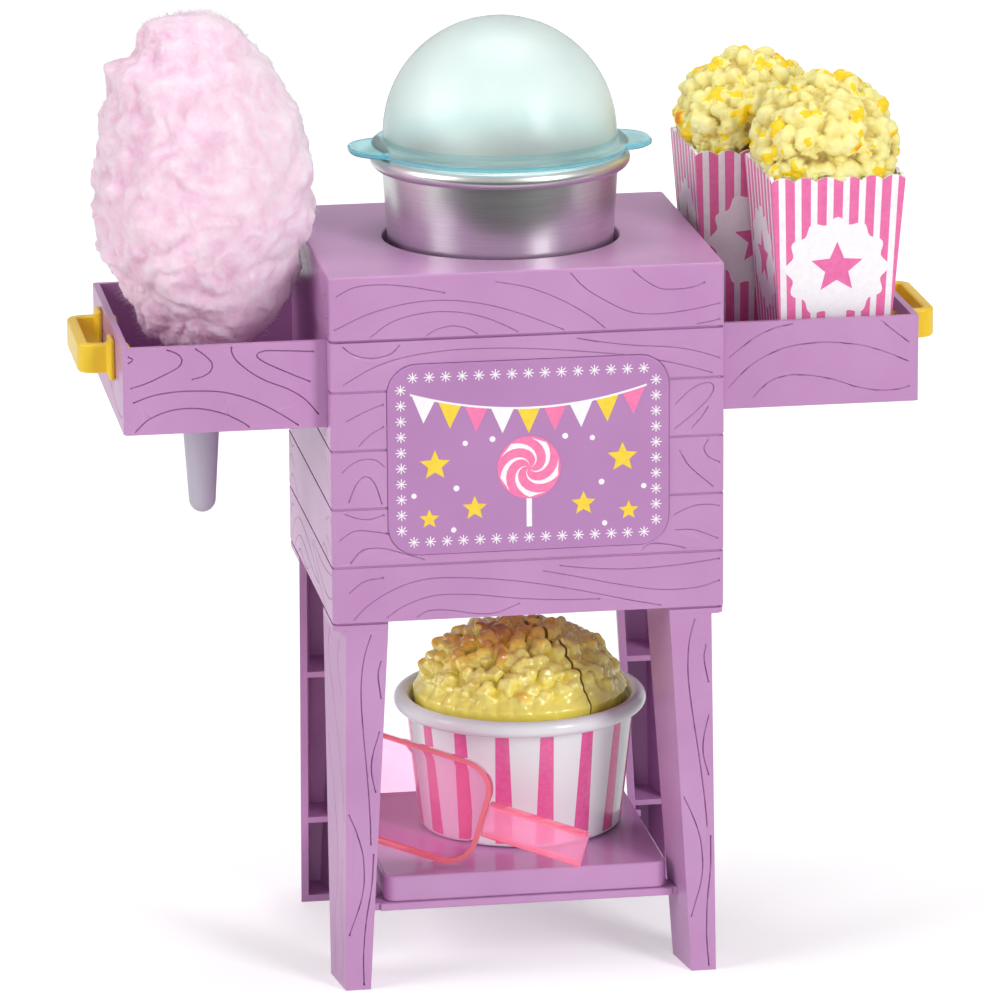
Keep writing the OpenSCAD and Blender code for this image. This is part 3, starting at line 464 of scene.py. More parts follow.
grain = {
    "counter": [
        [(2, 15.5), (8.5, 18.5), (17, 19), (26, 18), (38, 15.5)],
        [(1.5, 4.5), (13, 9.5), (26, 12.5), (38.5, 13), (51.5, 11), (64, 7), (77, 1.5)],
        [(13, 1.5), (20.5, 6.5), (30.5, 9), (41, 9), (51.5, 6.5), (62, 1.5)],
        [(31.5, 1.4), (35, 3.4), (40, 4.4), (45, 3.4), (48.5, 1.4)],
        [(54.5, 18.5), (65.5, 16), (76, 11.5), (85, 6), (90.5, 1.5)],
        [(79, 20.5), (83.5, 15.5), (90, 11), (99, 6.5), (108.5, 5.5), (119, 6.5), (128.5, 8.3)],
        [(99.5, 20.5), (103.5, 17), (108.5, 14), (114, 13.5), (119.5, 14), (123.5, 15.5)],
        [(120.5, 1.6), (125, 2.2), (128.5, 3)],
    ],
    "topPlank": [
        [(4.4, 14.8), (7.5, 12.2), (13.6, 10.7), (19.8, 11.9), (23, 14.8)],
        [(4, 2), (14.5, 7.7), (26, 10.9), (41, 12.4), (58.5, 12.2), (76, 10.8), (96.4, 8.4)],
        [(81, 14.6), (89.3, 12.9), (100, 11.3), (111.4, 10.3), (120, 8.7), (128.5, 5.9)],
        [(107, 6.3), (115.8, 4.1), (126, 1)],
    ],
    "secondPlank": [
        [(4.8, 9.4), (12, 12.9), (17.5, 14.8)],
        [(9, 1), (12.8, 4.7), (17.5, 7.4)],
        [(113.5, 10.5), (119, 15.4), (124, 17.4), (126.4, 16.2), (125.3, 12.8), (120, 7.4), (113, 2)],
        [(119, 2.2), (122.6, 6.2), (124.6, 9.4)],
    ],
    "thirdPlank": [
        [(3.5, 12), (6.5, 14.6), (10.1, 16.2), (14.5, 15.9), (17.6, 13.4)],
        [(5.6, 2), (8.4, 8.3), (11.4, 10.5), (14.2, 8.1), (16.6, 1)],
        [(115, 14.8), (118.4, 9), (126.3, 1.8)],
        [(124.7, 17.8), (123.2, 15.1), (124.6, 12), (128.6, 9.8)],
    ],
    "fourthPlank": [
        [(4.2, 17.8), (8, 16.2), (12.6, 15.6), (17.4, 17)],
        [(2.2, 8.8), (7.5, 11.9), (13.6, 11.4), (20.2, 10.1)],
        [(6, 1), (10, 5.3), (16.3, 5.7), (23.3, 3.6), (30.5, 1.2)],
        [(112.8, 12.3), (119.3, 15), (124.6, 15.4), (128.6, 14.7)],
        [(113.4, 7.2), (120, 6.9), (128, 3.7)],
        [(102.2, 0.9), (105.6, 3), (111.4, 2.4), (117, 0.9)],
    ],
    "bottomPlank": [
        [(5.3, 10), (10.2, 13.8), (16.9, 15)],
        [(6.8, 1), (12, 6), (21, 11.1), (31.6, 13.8), (45.9, 13.4), (62.8, 11.3), (80.6, 7.7), (97, 3.6),
         (109, 1)],
        [(17.4, 1), (23.6, 5), (33.4, 8), (45.9, 7.8), (60, 5.9), (74.4, 4.6), (88.6, 4.2)],
        [(27.6, 1), (31.6, 3), (38.7, 2.8), (46.7, 1.3), (53.9, 1.2), (61.9, 4.1)],
        [(75, 16.2), (85, 14.8), (98.4, 13.9), (114.4, 14.5), (128.6, 16)],
        [(69.5, 14.7), (80.6, 12.2), (94, 9), (108.2, 6.4), (120.7, 6.5), (128.6, 8.6)],
    ],
    "leftDrawer": [
        [(14.4, 28), (17.7, 26.6), (19.3, 24.6), (18.2, 22.2), (13.2, 19.6), (7.7, 17.2), (2.4, 15.6)],
        [(23.6, 28), (26.6, 25.8), (29.1, 22.8), (28.5, 20.3), (26, 18.7), (22.4, 17.8)],
        [(35.6, 28.2), (35.4, 26.6), (37.1, 23.4), (41.6, 19.4), (46.6, 16.3), (53.8, 13.2), (59.3, 9.5),
         (63.6, 4.4)],
        [(62.4, 25.4), (52.1, 26.1), (46, 26.3), (43.6, 24.9), (46, 22.6), (52.1, 19.5), (61, 15.4)],
        [(3.2, 10.8), (9.3, 12.9), (16.6, 13.9), (24.3, 13.9), (32.7, 13.1), (41, 10.5), (49.3, 6.2), (57, 1)],
        [(3.6, 1), (7.7, 4.8), (13.2, 7.2), (18.8, 8.2), (25.4, 7.9), (32.7, 5.9), (38.2, 3.1), (41, 1)],
        [(1.8, 26.2), (3.4, 25.2), (1.8, 24)],
    ],
    "rightDrawer": [
        [(2.5, 17), (10.6, 23.2), (17.4, 26.4), (24, 27.8)],
        [(2.4, 6.9), (9.9, 14.2), (20.2, 19.4), (32.5, 21.1), (44.8, 20), (53.7, 17.5), (63, 13.5)],
        [(10.6, 3.4), (16, 8.4), (22.2, 10.4), (29, 10.2), (37.3, 8.5), (46.1, 5.4), (53.7, 4), (60.5, 4.3),
         (63.4, 5.2)],
        [(53.6, 27.8), (57, 24.8), (63.2, 19.8)],
    ],
}


# lines on an upright face from its lower left corner; wide stretches them along the face
def onFace(lines, corner, along, wide=1):
    corner, along, up = Vector(corner), Vector(along), Vector((0, 0, 1))
    return [([corner + along * (u * wide) + up * v for u, v in line], along.cross(up)) for line in lines]


# the same drawing wrapped round the four sides of a rectangular block
def roundBlock(lines, low, high, z):
    placed = []
    for x, y, along in ((low.x, low.y, (1, 0, 0)), (high.x, low.y, (0, 1, 0)),
                        (high.x, high.y, (-1, 0, 0)), (low.x, high.y, (0, -1, 0))):
        wide = high.x - low.x if along[0] else high.y - low.y
        placed += onFace(lines, (x, y, z), along, wide / grainCut["drawnWide"])
    return placed


# Cabinet and counter

cabinet = {"topPlank": 16, "plank": 19.6, "edgeRound": 0.3, "counterRound": 0.8,
           "windowFoot": 190, "windowHalf": 50,
           "rounds": {"base_plate": 0.3, "shelf_ledge": 0.5, "drawer_deck": 0.3, "shelf_panel": 0.8}}

low, high = boxOf("cabinet_shell")
lines, plankFoot = [], high.z
for name in ("topPlank", "secondPlank", "thirdPlank", "fourthPlank"):
    plankFoot -= cabinet["topPlank" if name == "topPlank" else "plank"]
    lines += roundBlock(grain[name], low, high, plankFoot)
lines += roundBlock(grain["bottomPlank"], low, high, low.z)


# the drawer windows leave no wall to cut on the upper planks' sides
def onWall(line):
    middle = line[0][len(line[0]) // 2]
    return (abs(middle.x) < high.x - 0.1 or middle.z < cabinet["windowFoot"]
            or abs(middle.y) > cabinet["windowHalf"])


shell = roundedCopy("cabinet_shell", (cabinet["edgeRound"], anyEdge))
addMoulding("cabinet_shell", carve(shell, [line for line in lines if onWall(line)]))

low, high = boxOf("counter_top")


def counterRim(edge):
    return min(v.co.z for v in edge.verts) > (high.z - 0.1) * mm


slab = roundedCopy("counter_top", (cabinet["counterRound"], counterRim))
addMoulding("counter_top", carve(slab, roundBlock(grain["counter"], low, high, low.z)))
for nodeName, radius in cabinet["rounds"].items():
    addMoulding(nodeName, roundedCopy(nodeName, (radius, anyEdge)),
                material=glossyPurple if nodeName == "shelf_panel" else purpleAbs)
print("cabinet, counter and shelf done")


# Legs: lines run as (share across the face, height) up each tapering face

leg = {
    "edgeRound": 0.7,
    "front": [
        [(0.6, 122), (0.44, 114), (0.38, 103), (0.46, 89), (0.6, 74), (0.72, 60), (0.78, 50)],
        [(0.86, 113), (0.8, 108), (0.9, 100)],
        [(0.9, 89), (0.74, 81), (0.72, 75), (0.86, 68)],
        [(0.08, 61), (0.34, 54), (0.56, 45), (0.56, 33), (0.12, 19)],
        [(0.88, 47), (0.86, 36), (0.72, 24), (0.66, 12), (0.72, 1.5)],
    ],
    "side": [
        [(0.3, 121), (0.2, 112), (0.4, 98), (0.62, 84), (0.84, 68), (0.9, 58)],
        [(0.7, 119), (0.62, 110), (0.78, 100)],
        [(0.12, 84), (0.34, 68), (0.5, 50), (0.46, 34), (0.3, 20), (0.34, 3)],
        [(0.78, 44), (0.7, 30), (0.82, 14), (0.74, 3)],
    ],
}


# corners are given as seen from outside
def onLegFace(lines, footLeft, footRight, topRight, topLeft):
    normal = (footRight - footLeft).cross(topLeft - footLeft).normalized()
    return [([footLeft.lerp(footRight, s).lerp(topLeft.lerp(topRight, s), z / topLeft.z)
              for s, z in line], normal) for line in lines]


# outline corners of a leg at one end, from its own solid: face in, face out, open side in, open side out
def legRing(nodeName, top):
    low, high = boxOf(nodeName)
    level = high.z if top else low.z
    toFace, toSide = -1 if low.y < 0 else 1, -1 if low.x < 0 else 1
    spots = [v.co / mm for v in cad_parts[nodeName].data.vertices]
    ring = [p for p in spots if abs(p.z - level) < 0.01]
    ends = [pick(p.y * toFace for p in ring) for pick in (max, min)]
    groups = [[p for p in ring if abs(p.y * toFace - end) < 0.01] for end in ends]
    return [pick(group, key=lambda p: p.x * toSide) for group in groups for pick in (min, max)]


for nodeName in ("front_left_leg", "front_right_leg", "rear_left_leg", "rear_right_leg"):
    foot, top = legRing(nodeName, False), legRing(nodeName, True)
    lines = []
    for face, a, b in (("front", 0, 1), ("side", 1, 3)):
        if nodeName in ("front_left_leg", "rear_right_leg"):  # mirrored once, so the corners run the other way
            a, b = b, a
        lines += onLegFace(leg[face], foot[a], foot[b], top[b], top[a])
    addMoulding(nodeName, carve(roundedCopy(nodeName, (leg["edgeRound"], anyEdge)), lines))
print("legs done")


# Drawers and handles

drawer = {"cornerRound": 1.3, "rimRound": 0.5, "gripRound": 0.9, "drawn": 66.5, "endWide": 98}
for side, nodeName, body in ((-1, "left_drawer", "left_tray"), (1, "right_drawer", "right_tray")):
    low, high = boxOf(nodeName)
    end = low.x if side < 0 else high.x
    left, right = sorted((end, end - side * drawer["drawn"]))
    front, back = [grain[name] for name in ("leftDrawer", "rightDrawer")][::-side]
    lines = onFace(front, (left, low.y, low.z), (1, 0, 0)) + onFace(back, (right, high.y, low.z), (-1, 0, 0))
    lines += onFace(back, (end, high.y if side < 0 else low.y, low.z), (0, side, 0),
                    drawer["endWide"] / drawer["drawn"])

    def outerCorner(edge):
        run = edge.verts[1].co - edge.verts[0].co
        return abs(run.z) > 0.95 * run.length and all(
            abs(v.co.x - end * mm) < 0.1 * mm and abs(abs(v.co.y) - high.y * mm) < 0.1 * mm for v in edge.verts)

    tray = roundedCopy(nodeName, (drawer["cornerRound"], outerCorner), (drawer["rimRound"], anyEdge))
    addMoulding(nodeName, carve(tray, lines), body)

for nodeName, body in (("left_handle", "left_tray"), ("right_handle", "right_tray")):
    grip = roundedCopy(nodeName, (drawer["gripRound"], anyEdge))
    addMoulding(nodeName, grip, body, yellowAbs)
for nodeName in ("leg_screws", "counter_screws"):
    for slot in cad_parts[nodeName].material_slots:
        slot.material = screwSteel
print("drawers and handles done")


# Sign: the panel and its printed decoration, drawn as (right, up) millimetres from the panel's middle

sign = {
    "edgeRound": 0.45, "ink": 0.08,
    "sparkle": 1.8, "sparkleArm": 0.16, "sparklePitch": 5.5, "sparkleInset": 4.4, "sparkleCorner": 4,
    "cordUp": 22, "cordHalf": 39, "cordThick": 0.7, "sag": 6, "flags": 9, "flagTall": 8.5, "flagGap": 1,
    "candyAt": (0, -4), "candy": 10.5, "arms": 5, "armReach": 10, "armTurn": 2.2, "armWide": 0.55,
    "stick": [(-0.9, -24), (0.9, -24), (0.9, -12), (-0.9, -12)],
    "stars": [(-31, -2, 5.2), (-18, -17, 4.2), (31, -2, 5.2), (18, -17, 4.2),
              (-33, -20, 3.4), (33, -20, 3.4)],
    "specks": [(-24, -10, 1), (24, -10, 1), (-12, 6, 1), (12, 6, 1), (-38, -12, 0.9), (38, -12, 0.9),
               (-25, -24, 0.9), (25, -24, 0.9), (-21, 5, 0.9), (21, 5, 0.9)],
}

low, high = boxOf("sign_panel")
addMoulding("sign_panel", roundedCopy("sign_panel", (sign["edgeRound"], anyEdge)), "stand",
            signAbs, "signPanelMoulding")
signPlace = ((low.x + high.x) / 2, low.y, (low.z + high.z) / 2)


def disc(centre, radius, steps):
    return [polar(centre, radius, turn * k / steps) for k in range(steps)]


def star(centre, radius, tips=5, inner=0.45):
    spots = []
    for k in reversed(range(2 * tips)):
        r, a = radius * (1, inner)[k % 2], turn * k / (2 * tips)
        spots.append((centre[0] + r * math.sin(a), centre[1] + r * math.cos(a)))
    return spots


# thin arms that meet in the middle
def sparkle(centre, radius, half, arms=8):
    spots, notch = [], half / math.sin(turn / (2 * arms))
    for k in range(arms):
        a = turn * k / arms
        for side in (-half, half):
            spots.append((centre[0] + radius * math.cos(a) - side * math.sin(a),
                          centre[1] + radius * math.sin(a) + side * math.cos(a)))
        spots.append(polar(centre, notch, turn * (k + 0.5) / arms))
    return spots


# flat print: outlines turn anticlockwise as seen from the front; place and axes put them on their face
def printShapes(name, outlines, origin, right, up, thick, body, slotName, ink):
    origin, right, up = Vector(origin), Vector(right), Vector(up)
    out = right.cross(up).normalized()
    points, faces = [], []
    for outline in outlines:
        n, first = len(outline), len(points)
        for off in (out * thick, out * -0.05):
            points += [origin + right * x + up * y + off for x, y in outline]
        faces.append([first + k for k in range(n)])
        faces.append([first + n + k for k in reversed(range(n))])
        faces += [(first + k, first + n + k, first + n + (k + 1) % n, first + (k + 1) % n) for k in range(n)]
    makePiece(name, points, faces, body, slotName, [ink], 30)


def onSign(name, outlines, layer, ink):
    printShapes(name, outlines, signPlace, (1, 0, 0), (0, 0, 1), layer * sign["ink"], "stand", "printed_panel",
                ink)


# evenly spaced places along one side
def sparkleRow(half):
    half -= sign["sparkleCorner"]
    gaps = round(2 * half / sign["sparklePitch"])
    return [-half + k * 2 * half / gaps for k in range(gaps + 1)]


halfW, halfH = (high.x - low.x) / 2 - sign["sparkleInset"], (high.z - low.z) / 2 - sign["sparkleInset"]
places = [(x, s * halfH) for x in sparkleRow(halfW) for s in (-1, 1)]
places += [(s * halfW, y) for y in sparkleRow(halfH) for s in (-1, 1)]
onSign("signSparkles", [sparkle(p, sign["sparkle"], sign["sparkleArm"]) for p in places], 1, whiteInk)


# bunting: flags hang from a sagging cord
def cordHeight(x):
    return sign["cordUp"] - sign["sag"] * (1 - (x / sign["cordHalf"]) ** 2)


flagWidth = 2 * sign["cordHalf"] / sign["flags"]
flags = []
for k in range(sign["flags"]):
    left = -sign["cordHalf"] + k * flagWidth + sign["flagGap"] / 2
    right = left + flagWidth - sign["flagGap"]
    middle = (left + right) / 2
    flags.append([(left, cordHeight(left)), (middle, cordHeight(middle) - sign["flagTall"]),
                  (right, cordHeight(right))])
for k, (name, ink) in enumerate((("signWhiteFlags", whiteInk), ("signYellowFlags", yellowInk),
                                 ("signPinkFlags", signPinkInk))):
    onSign(name, flags[k::3], 1, ink)
cordXs = [-sign["cordHalf"] + 2 * sign["cordHalf"] * k / 24 for k in range(25)]
cordUnder = [(x, cordHeight(x) - sign["cordThick"] / 2) for x in cordXs]
cordOver = [(x, cordHeight(x) + sign["cordThick"] / 2) for x in reversed(cordXs)]
onSign("signCord", [cordUnder + cordOver], 2, whiteInk)

# swirl lollipop on a white stick
onSign("signStick", [sign["stick"]], 1, whiteInk)
onSign("signCandyDisc", [disc(sign["candyAt"], sign["candy"], 40)], 2, signPinkInk)
arms = []
for k in range(sign["arms"]):
    spin = turn * k / sign["arms"]
    outer = [(t, spin + sign["armTurn"] * t) for t in np.linspace(0.06, 1, 12)]
    inner = [(t, spin + sign["armTurn"] * t + sign["armWide"] * t) for t in np.linspace(1, 0.06, 12)]
    arms.append([polar(sign["candyAt"], sign["armReach"] * t, a) for t, a in outer + inner])
onSign("signCandySwirl", arms, 3, whiteInk)
onSign("signStars", [star((x, y), r) for x, y, r in sign["stars"]], 1, yellowInk)
onSign("signSpecks", [disc((x, y), r, 12) for x, y, r in sign["specks"]], 1, whiteInk)
print("sign done")


# Pot and dome lid

pot = {"wall": 1.8, "bead": 2.8, "foot": 36.6, "footRound": 2, "neck": 39, "rim": 43.1}
low, high = boxOf("pot")
beadAt = (pot["rim"] - pot["bead"], high.z - pot["bead"])
footR, wallR, bend = pot["foot"], pot["foot"] - pot["wall"], pot["footRound"]
profile = [(0, low.z), (footR - bend, low.z)] + arc((footR - bend, low.z + bend), bend, -90, -3, 6)
profile += arc(beadAt, pot["bead"], -115, 205, 30)
insideFrom = len(profile)
profile += [(pot["neck"] - pot["wall"] - 0.2, beadAt[1] - 2), (wallR, low.z + 4)]
profile += arc((wallR - bend, low.z + pot["wall"] + bend), bend, 0, -90, 5) + [(0, low.z + pot["wall"])]
piece = makePiece("potSpinning", *lathe(profile), "cooker_pot", "silver_metal", [potMetal, potInside], 50,
                  "pot")
# the inside rows take the darker metal, as painted shade
paintRows(piece, insideFrom, len(profile), 1)

lid = {"dome": 38.8, "wall": 1.6, "flange": 42.6, "flangeTall": 2, "neckTall": 3, "ringTall": 3, "lip": 37.1,
       "lipTall": 3}
flangeZ = boxOf("dome_lid")[0].z + lid["lipTall"]
springZ = flangeZ + lid["flangeTall"] + lid["neckTall"]
innerR, lipR, lipZ = lid["dome"] - lid["wall"], lid["lip"] - lid["wall"], flangeZ - lid["lipTall"]
profile = [(0, springZ + innerR)] + arc((0, springZ), innerR, 88, 0, 40)
profile += [(innerR, flangeZ + 1.2), (lipR, flangeZ + 1), (lipR, lipZ + 0.3), (lid["lip"] - 0.3, lipZ),
            (lid["lip"], lipZ + 0.4), (lid["lip"], flangeZ)]
edgeStart = len(profile)
profile += arc((lid["flange"] - 0.6, flangeZ + 0.6), 0.6, -90, 0, 4)
edgeEnd = len(profile)
profile += arc((lid["flange"] - 1.4, flangeZ + lid["ringTall"] - 1.4), 1.4, 0, 90, 6)
profile += arc((lid["dome"] + 1, flangeZ + lid["ringTall"] + 1), 1, -90, -180, 5)
flangeEnd = len(profile)
profile += arc((0, springZ), lid["dome"], 0, 88, 40) + [(0, springZ + lid["dome"])]
piece = makePiece("domeLidMoulding", *lathe(profile), "lid", "teal_plastic", [hazyTeal, tealEdge, flangeTeal],
                  standsFor="dome_lid")
paintRows(piece, edgeStart, edgeEnd, 1)
paintRows(piece, edgeEnd, flangeEnd, 2)
piece.visible_shadow = False  # the hazy wall lets the light through

# ears: rounded tongues that grow out of the flange
ears = {"reach": 50.6, "width": 28, "round": 12, "soft": 0.5, "thick": 2}
half, soft = ears["width"] / 2, ears["soft"]
earR = ears["round"]
outline = arc((ears["reach"] - earR, -half + earR), earR, -90, 0, 8)
outline += arc((ears["reach"] - earR, half - earR), earR, 0, 90, 8)
rootAngle = math.degrees(math.asin(half / lid["flange"]))
outline += arc((0, 0), lid["flange"] - 0.1, rootAngle, -rootAngle, 16)
inset = [(x - soft * (x > lid["flange"]), y * (1 - soft / half)) for x, y in outline]
n = len(outline)
faces = [list(range(n))[::-1], [3 * n + k for k in range(n)]] + rowFaces(4, n)
for side, name in ((-1, "leftLidEar"), (1, "rightLidEar")):
    points = [(side * x, side * y, flangeZ + z) for ring, z in (
        (inset, 0), (outline, soft), (outline, ears["thick"] - soft), (inset, ears["thick"])) for x, y in ring]
    piece = makePiece(name, points, faces, "lid", "teal_plastic", [flangeTeal, tealEdge])
    for face in piece.data.polygons[2:]:
        face.material_index = 1
    piece.visible_shadow = False
print("pot and lid done")


# Popcorn tub

# each stripe's pitch has some columns of faces, the first of them inked
tub = {"wall": 2, "bead": 2.8, "foot": 34.5, "footRound": 1.5, "neck": 38.8, "rim": 42.9, "stripes": 16,
       "stripeTop": 6.8, "stripeFoot": 10.4, "firstStripe": -108, "columns": 12, "inked": 5}
low, high = boxOf("popcorn_tub")
tubMiddle = ((low.x + high.x) / 2, (low.y + high.y) / 2, 0)
beadAt = (tub["rim"] - tub["bead"], high.z - tub["bead"])
footR, wallR, bend, floorZ = tub["foot"], tub["foot"] - tub["wall"], tub["footRound"], low.z + tub["wall"]
profile = [(0, low.z), (footR - bend, low.z)] + arc((footR - bend, low.z + bend), bend, -90, -5, 5)
wallRow = len(profile) - 1
profile += arc(beadAt, tub["bead"], -118, 200, 30)
profile += [(tub["neck"] - tub["wall"] - 0.3, beadAt[1] - 2), (wallR, floorZ + 0.5), (wallR - 0.5, floorZ),
            (0, floorZ)]


# columns crowd to the stripes' slanting edges, so that the print is cut clean
def columnAngle(row, k):
    stripe, step = divmod(k, tub["columns"])
    inked, pitch = tub["inked"], 360 / tub["stripes"]
    width = tub["stripeFoot"] if row <= wallRow else tub["stripeTop"]
    share = step / inked * width if step <= inked else (
        width + (step - inked) / (tub["columns"] - inked) * (pitch - width))
    return math.radians(tub["firstStripe"] + stripe * pitch - width / 2 + share)


columns = tub["stripes"] * tub["columns"]
points, faces = lathe(profile, columns, columnAngle)
piece = makePiece("popcornTubMoulding", shifted(points, tubMiddle), faces, "tub", "white_plastic",
                  [whitePlastic, tubInk], 50, "popcorn_tub")
for face in piece.data.polygons:
    row, k = divmod(face.index, columns)
    if row == wallRow and k % tub["columns"] < tub["inked"]:
        face.material_index = 1
print("tub done")


# Popcorn: cast heaps whose surface is raised into many lobed kernels

# picks points of a surface, by number, kept apart by spacing
def scatterSpots(points, count, spacing, seed):
    dice = random.Random(seed)
    chosen = [dice.randrange(len(points))]
    for _ in range(count * 30):
        k = dice.randrange(len(points))
        if np.linalg.norm(points[chosen] - points[k], axis=1).min() > spacing:
            chosen.append(k)
        if len(chosen) == count:
            break
    return np.array(chosen)


def unevenness(points, grainSize, seed):
    shift = Vector((seed, 2 * seed, 3 * seed))
    return np.array([noise.noise(Vector(p) / grainSize + shift) for p in points])


# colour index of each point: cream, with ragged stars of butter, some with an orange heart
def butterPatches(points, outward, count, size, seed):
    dice = random.Random(seed)
    tint = np.full(len(points), 0.34)
    wobble = unevenness(points, 1.6, seed)
    for k in scatterSpots(points, count, size * 1.7, seed):
        out = Vector(outward[k]).normalized()
        side = out.orthogonal().normalized()
        away = points - points[k]
        angle = np.arctan2(away @ np.array(out.cross(side)), away @ np.array(side))
        arms, spin, heart = dice.choice((3, 4)), dice.uniform(0, turn), dice.choice((0, 0, 0.06, 0.22))
        reach = size * dice.uniform(0.75, 1.25) * (0.74 + 0.26 * np.cos(arms * (angle - spin)))
        inside = 1 - np.linalg.norm(away, axis=1) / reach - 0.5 * wobble
        butter = 0.34 + 0.26 * np.clip(inside * 5, 0, 1)
        tint = np.maximum(tint, butter + heart * np.clip(inside * 2.4 - 0.9, 0, 1))
    return tint


def paintTint(mesh, tint):
    layer = mesh.attributes.new("tint", "FLOAT", "POINT")
    layer.data.foreach_set("value", np.asarray(tint, dtype=np.float32))


# round crumbs about the spots, parted by clefts
def crumbled(points, spots, cleft):
    nearest, second = np.full(len(points), 1e9), np.full(len(points), 1e9)
    for spot in spots:
        gap = np.linalg.norm(points - spot, axis=1)
        second = np.where(gap < nearest, nearest, np.minimum(second, gap))
        nearest = np.minimum(nearest, gap)
    share = np.clip((second - nearest) / cleft, 0, 1)
    return np.sqrt(1 - (1 - share) ** 2)


# popped kernels: a few round lobes about each spot, as (kernel, centre, radius)
def popped(spots, outward, corn, seed):
    dice = random.Random(seed)
    lobes = []
    for i, (spot, out) in enumerate(zip(spots, outward)):
        out = Vector(out).normalized()
        side = out.orthogonal().normalized()
        for _ in range(corn["lobes"]):
            a, away = dice.uniform(0, turn), corn["spread"] * math.sqrt(dice.random())
            across = side * (away * math.cos(a)) + out.cross(side) * (away * math.sin(a))
            lobes.append((i, np.array(Vector(spot) + across + out * dice.uniform(*corn["lift"])),
                          dice.uniform(*corn["lobe"])))
    return lobes


# which kernel is on top at each point, and how high its lobes stand; soft fills the clefts a little
def crust(points, outward, lobes, soft):
    height, owner = np.zeros(len(points)), np.zeros(len(points), dtype=int)
    for i, centre, radius in lobes:
        apart = centre - points
        along = np.sum(apart * outward, axis=1)
        room = radius ** 2 - np.sum(apart * apart, axis=1) + along ** 2
        top = np.where(room > 0, along + np.sqrt(np.maximum(room, 0)), -9)
        owner[top > height] = i
        share = np.clip(0.5 + 0.5 * (top - height) / soft, 0, 1)
        height = height * (1 - share) + top * share + soft * share * (1 - share)
    return owner, height


# points shaken by noise, so that the lobes and crumbs are not quite round
def shaken(points, amount, grainSize, seeds):
    return points + amount * np.stack([unevenness(points, grainSize, s) for s in seeds], axis=1)


# how far a rounded square reaches beyond a circle at an angle
def squareness(a, power):
    return (abs(math.cos(a)) ** power + abs(math.sin(a)) ** power) ** (-1 / power)


# direction at an angle round the axis and a rise above the level
def skyward(a, rise):
    return (*polar((0, 0), math.cos(rise), a), math.sin(rise))


boxCorn = {"rings": 120, "steps": 260, "sink": 5, "bulge": 24.6, "under": 25, "inset": 3.1, "squareTo": 18,
           "kernels": 105, "spacing": 4.9, "lobes": 5, "spread": 2.8, "lift": (-1.7, 0.8), "lobe": (1.3, 3.4),
           "crumbs": 900, "crumbSpacing": 1.5, "lowBand": 13, "patches": 30, "patchSize": 4.6,
           "footHalf": (20.4, 20.9)}


def boxPopcorn(name, nodeName, boxName, body, seed):
    corn, steps, rows = boxCorn, boxCorn["steps"], boxCorn["rings"] + 1
    boxLow, boxHigh = boxOf(boxName)
    middle = (boxLow + boxHigh) / 2
    tall = boxOf(nodeName)[1].z - boxHigh.z - corn["inset"] * 0.8
    under = math.radians(corn["under"])
    angles = [turn * k / steps for k in range(steps)]
    points, outward = [], []
    for i in range(rows):
        rise = (math.pi / 2 + under) * i / corn["rings"] - under
        r = (corn["bulge"] - corn["inset"]) * math.cos(rise)
        z = tall * (math.sin(rise) + math.sin(under)) / (1 + math.sin(under))
        for a in angles:
            wide = r * (1 + (squareness(a, 4) - 1) * max(0, 1 - z / corn["squareTo"]))
            points.append((*polar((0, 0), wide, a), z))
            outward.append(skyward(a, rise))
    points, outward = np.array(points), np.array(outward)
    kernels = scatterSpots(points, corn["kernels"], corn["spacing"], seed)
    crumbs = scatterSpots(points, corn["crumbs"], corn["crumbSpacing"], seed + 3)
    warped = shaken(points, 0.8, 2.8, (2, 3, 4))
    _, height = crust(warped, outward, popped(points[kernels], outward[kernels], corn, seed + 2), 0.8)
    lowBand = np.clip(1 - points[:, 2] / corn["lowBand"], 0, 1)  # rougher crumbs near the rim and in the clefts
    cleft = np.clip((1.6 - height) / 1.6, 0, 1)
    height += (crumbled(warped, points[crumbs], 1.6) - 0.8) * (0.18 + 0.8 * lowBand + 0.5 * cleft)
    height = np.clip(height, 0, corn["inset"] + 1)
    tint = butterPatches(points, outward, corn["patches"], corn["patchSize"], seed + 1)
    # painted shade: the tint drops in the clefts, more so near the rim, and rises with the height of the lobes,
    # so hollows are darker and tops lighter
    tint += 0.05 * (height - 2) - cleft * (0.12 + 0.25 * lowBand)
    raised = points + outward * height[:, None]
    # a squared foot reaches into the box, and the last ring is drawn together in one point
    halfX, halfY = corn["footHalf"]
    foot = [(halfX * squareness(a, 8) * math.cos(a), halfY * squareness(a, 8) * math.sin(a), -corn["sink"])
            for a in angles]
    everything = np.vstack([foot, raised[:-steps], raised[-1:]])
    top, last = len(everything) - 1, (rows - 1) * steps
    faces = [list(range(steps))[::-1]] + rowFaces(rows, steps)
    faces += [(last + k, last + (k + 1) % steps, top) for k in range(steps)]
    piece = makePiece(name, shifted(everything, (middle.x, middle.y, boxHigh.z)), faces, body, "popcorn_resin",
                      [boxResin], 75, nodeName)
    paintTint(piece.data, [0.2] * steps + list(tint[:-steps]) + [tint[-1]])


boxPopcorn("frontBoxKernels", "front_box_popcorn", "front_box", "front_popcorn", 11)
boxPopcorn("rearBoxKernels", "rear_box_popcorn", "rear_box", "rear_popcorn", 23)
print("box popcorn done")

tubCorn = {"rings": 110, "step": 0.9, "rim": 36.1, "foot": 31.3, "lean": 3, "leanTo": 25, "inset": 3,
           "wedgeFrom": -58, "wedgeAngle": 98, "gap": 1.1, "skirt": 6, "flutes": 15, "dome": 1.15, "under": 4.6,
           "kernels": 125, "spacing": 5, "lobes": 5, "spread": 2.8, "lift": (-1.9, 0.7), "lobe": (1.6, 3.2),
           "spotRings": 60, "spotSteps": 150}
rimZ = boxOf("popcorn_tub")[1].z
low, high = boxOf("popcorn_heap")
heapTall, heapFoot = high.z - rimZ - tubCorn["under"], low.z - rimZ

